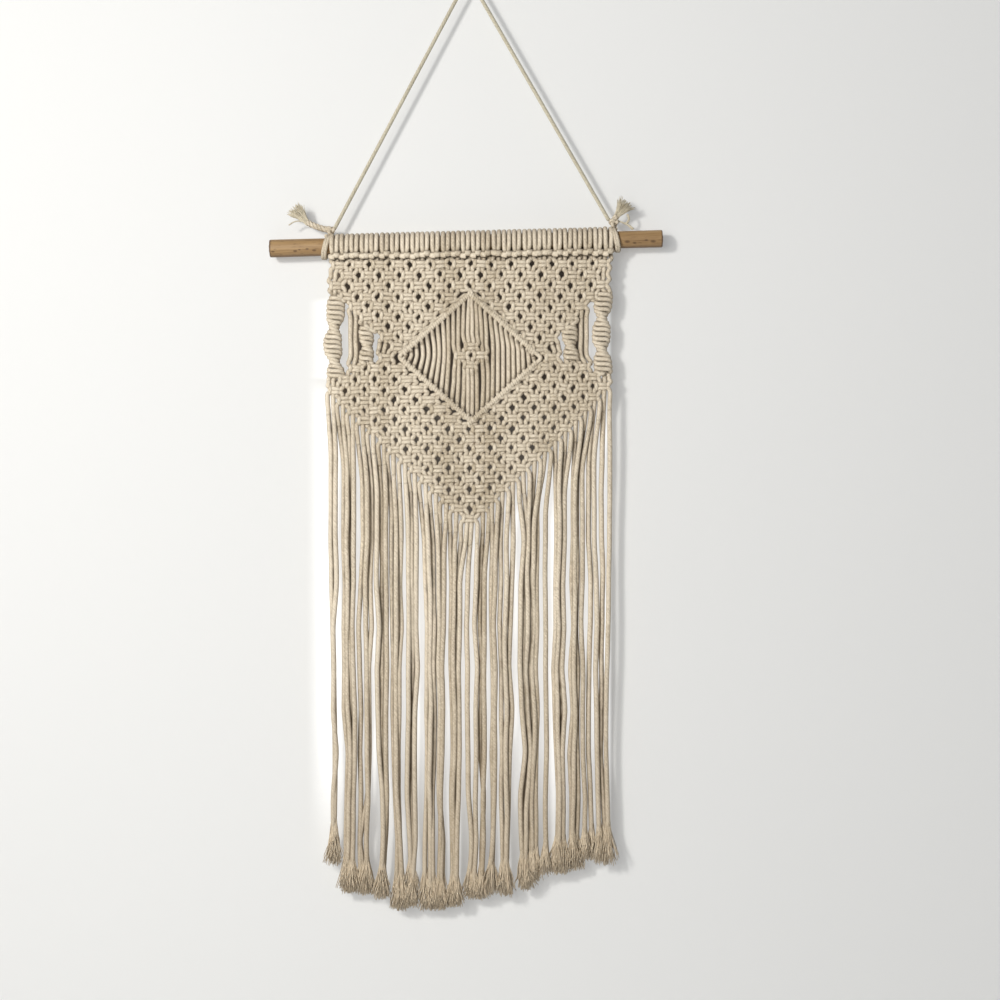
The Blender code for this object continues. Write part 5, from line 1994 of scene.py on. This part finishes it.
@dataclass(frozen=True)
class BackdropFinish:
    """Matt paint that is seen from the front only and half lets light through from behind.

    It glows low behind the work, as light that comes back from a pale room, and lies in shade
    behind the net.  Each pair says where a smooth step is 0 and where it is 1: a height z, a
    distance from the middle, or, for a slanting edge, a height below the V of the net.

    Attributes:
        name: The material's name.
        colour: Colour of the paint.
        shaded: Its colour behind the net.
        emission: Colour of its glow.
        even: Glow of the bare paint.
        extra: How much more glows behind the fringe.
        slot_share: How much of that more in the slots.
        edge_x: Distance from the middle at which the V starts.
        edge_slope: Fall of the V towards the middle.
        fringe_top: Slanting upper edge of the glow behind the fringe.
        fringe_foot: Lower edge of that glow.
        sides: Where that glow starts and ends, along x.
        outer_slot: Side, foot and top of the slots beside the outer sinnets.
        inner_slot: Two sides, foot and top of the slots beside the inner ones.
        net_side: Side of the shade behind the net.
        net_top: Its top.
        net_foot: Its slanting foot.
        deeper: Over which heights the shade gets darker upwards.
        shade_share: The shade at its lightest, and how much darker it gets.
        shadow_share: How much light passes through from behind.
    """

    name: str = "backdrop_paint"
    colour: Colour = (0.60, 0.60, 0.59, 1.0)
    shaded: Colour = (0.10, 0.07, 0.045, 1.0)
    emission: Colour = (0.98, 1.0, 1.02, 1.0)
    even: float = 0.24
    extra: float = 0.36
    slot_share: float = 0.7
    edge_x: float = 0.11
    edge_slope: float = 0.94
    fringe_top: Flat = (-0.308, -0.330)
    fringe_foot: Flat = (-0.700, -0.56)
    sides: tuple[Flat, Flat] = ((-0.128, -0.108), (0.1125, 0.1095))
    outer_slot: tuple[Flat, Flat, Flat] = (
        (0.0905, 0.0925), (-0.306, -0.302), (-0.240, -0.246))
    inner_slot: tuple[Flat, Flat, Flat, Flat] = (
        (0.0685, 0.070), (0.0768, 0.0750), (-0.294, -0.291), (-0.266, -0.270))
    net_side: Flat = (0.1068, 0.1050)
    net_top: Flat = (-0.194, -0.200)
    net_foot: Flat = (-0.320, -0.304)
    deeper: Flat = (-0.345, -0.305)
    shade_share: Flat = (0.85, 0.09)
    shadow_share: float = 0.5

    def make(self) -> bpy.types.Material:
        """Build the material."""
        material, graph, shader = new_material(self.name)
        x, _, z = graph.split(graph.add("ShaderNodeTexCoord").outputs["Object"])
        wide = graph.maths("ABSOLUTE", x)
        under = graph.plus(z, graph.less(self.edge_x, wide), self.edge_slope)
        fringe = graph.times(graph.fade(under, *self.fringe_top), graph.fade(z, *self.fringe_foot))
        side, foot, top = self.outer_slot
        outer = graph.times(graph.fade(wide, *side),
                            graph.times(graph.fade(z, *foot), graph.fade(z, *top)))
        side, far_side, foot, top = self.inner_slot
        inner = graph.times(graph.times(graph.fade(wide, *side), graph.fade(wide, *far_side)),
                            graph.times(graph.fade(z, *foot), graph.fade(z, *top)))
        slots = graph.maths("ADD", outer, inner)
        glow = graph.plus(fringe, slots, self.slot_share)
        for edge in self.sides:
            glow = graph.times(glow, graph.fade(x, *edge))
        # only the eye sees the shade behind the net; the net's own back still gets light
        path = graph.add("ShaderNodeLightPath").outputs
        behind = graph.less(graph.fade(wide, *self.net_side), slots, clamp=True)
        for share in (graph.fade(z, *self.net_top), graph.fade(under, *self.net_foot),
                      path["Is Camera Ray"]):
            behind = graph.times(behind, share)
        lightest, darker = self.shade_share
        shade = graph.plus(lightest, graph.fade(z, *self.deeper), darker)
        bare = graph.less(1.0, graph.times(behind, shade))
        graph.fill(shader, {
            "Base Color": graph.mix(bare, self.shaded, self.colour),
            "Roughness": 0.9, "Specular IOR Level": 0.1, "Emission Color": self.emission,
            "Emission Strength": graph.plus(graph.times(bare, self.even), glow, self.extra)})
        facing = graph.add("ShaderNodeNewGeometry").outputs["Backfacing"]
        passed = graph.times(path["Is Shadow Ray"], self.shadow_share)
        blend = graph.add("ShaderNodeMixShader")
        for socket, value in zip(blend.inputs, (
                graph.maths("MAXIMUM", facing, passed), shader.outputs[0],
                graph.add("ShaderNodeBsdfTransparent").outputs[0])):
            graph.put(value, socket)
        graph.fill(material.node_tree.nodes["Material Output"], {"Surface": blend.outputs[0]})
        return material


def add_stage(half: float = 3.0, floor_z: float = -1.3, back_y: float = 0.0118,
              top_z: float = 1.6, near_y: float = -4.0) -> None:
    """A pale backdrop behind the dowel and a pale floor far below.

    Args:
        half: Half the width of both.
        floor_z: Height of the floor.
        back_y: Depth of the backdrop.
        top_z: Height of its upper edge.
        near_y: Depth of the floor's near edge.
    """
    plain_plane("backdrop", ((-half, back_y, floor_z), (half, back_y, floor_z),
                             (half, back_y, top_z), (-half, back_y, top_z)),
                BackdropFinish().make())
    floor, graph, shader = new_material("floor_paint")
    graph.fill(shader, {"Base Color": (0.78, 0.77, 0.75, 1.0), "Roughness": 0.8})
    plain_plane("floor", ((-half, near_y, floor_z), (half, near_y, floor_z),
                          (half, half, floor_z), (-half, half, floor_z)), floor)


def add_lamp(name: str, place: tuple[float, float, float], aim: tuple[float, float, float],
             size: float, power: float) -> None:
    """A round area light that faces a point."""
    lamp = bpy.data.lights.new(name, "AREA")
    lamp.shape = "DISK"
    lamp.size = size
    lamp.energy = power
    lamp.color = (1.0, 0.985, 0.955)
    light = as_object(name, lamp)
    light.location = place
    way = np.subtract(aim, place)
    light.rotation_euler = (math.atan2(math.hypot(way[0], way[1]), -way[2]), 0.0,
                            math.atan2(way[1], way[0]) - math.pi / 2.0)


def add_lights(key: float = 13.0, fill: float = 10.5, sky: float = 0.17) -> None:
    """A small key light from the upper left, a broad soft one near it and an even pale sky.

    Args:
        key: Watts of the key.
        fill: Watts of the broad light.
        sky: Strength of the world.
    """
    add_lamp("key", (-0.78, -1.30, 0.08), (-0.10, 0.0, -0.35), 0.20, key)
    add_lamp("fill", (-0.62, -1.45, -0.12), (-0.15, 0.0, -0.30), 1.0, fill)
    world = bpy.data.worlds.new("soft_sky")
    world.use_nodes = True
    back = world.node_tree.nodes["Background"]
    back.inputs["Color"].default_value = (1.0, 1.0, 1.0, 1.0)
    back.inputs["Strength"].default_value = sky
    bpy.context.scene.world = world
    bpy.context.scene.view_settings.view_transform = "Standard"


def add_camera(sensor: float = 36.0, distance: float = 1.5, width: float = 0.774) -> None:
    """A camera level with the middle of the work, straight in front.

    Args:
        sensor: Width of the sensor, millimetres.
        distance: How far it stands from the cords, metres.
        width: Width of what it sees there, metres.
    """
    data = bpy.data.cameras.new("camera")
    data.sensor_width = sensor
    data.lens = sensor * distance / width
    camera = as_object("camera", data)
    camera.location = (0.02446, -1.5035, -0.39915)
    camera.rotation_euler = (math.pi / 2.0, 0.0, 0.0)
    bpy.context.scene.camera = camera


def main() -> None:
    """Build the hanging piece by piece, then the stage, the lights and the camera."""
    logging.basicConfig(level=logging.INFO, format="%(message)s")
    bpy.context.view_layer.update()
    twist, tone = twist_group(), tone_group()
    yarn = {"lay": False, "depth": 0.04 * MM}
    rope = {"plies": 3.0, "slope": 3.0, "depth": 0.3 * MM}
    cotton, loose, hanger, worn, hanger_loose = (finish.make(twist, tone) for finish in (
        CottonFinish("natural_cotton", (0.92, 0.82, 0.665, 1.0), (0.53, 0.44, 0.31, 1.0),
                     (0.27, 0.205, 0.13, 1.0), rim=0.75),
        CottonFinish("loose_cotton", (0.95, 0.84, 0.67, 1.0), (0.64, 0.53, 0.385, 1.0),
                     (0.40, 0.31, 0.20, 1.0), **yarn),
        CottonFinish("hanger_cotton", (0.72, 0.67, 0.53, 1.0), (0.50, 0.45, 0.33, 1.0),
                     (0.22, 0.185, 0.12, 1.0), **rope),
        CottonFinish("tied_cotton", (0.88, 0.785, 0.635, 1.0), (0.54, 0.45, 0.32, 1.0),
                     (0.23, 0.18, 0.115, 1.0), rim=0.75, **rope),
        CottonFinish("hanger_loose_cotton", (0.70, 0.64, 0.50, 1.0), (0.46, 0.40, 0.29, 1.0),
                     (0.25, 0.2, 0.13, 1.0), **yarn)))
    layout = Layout()
    dress(Dowel(layout).build(np.random.default_rng(3)), WoodFinish().make())
    WallHanging(layout).build(cotton, loose)
    build_hanger(layout, hanger, worn, hanger_loose)
    add_stage()
    add_lights()
    add_camera()


if __name__ == "__main__":
    main()
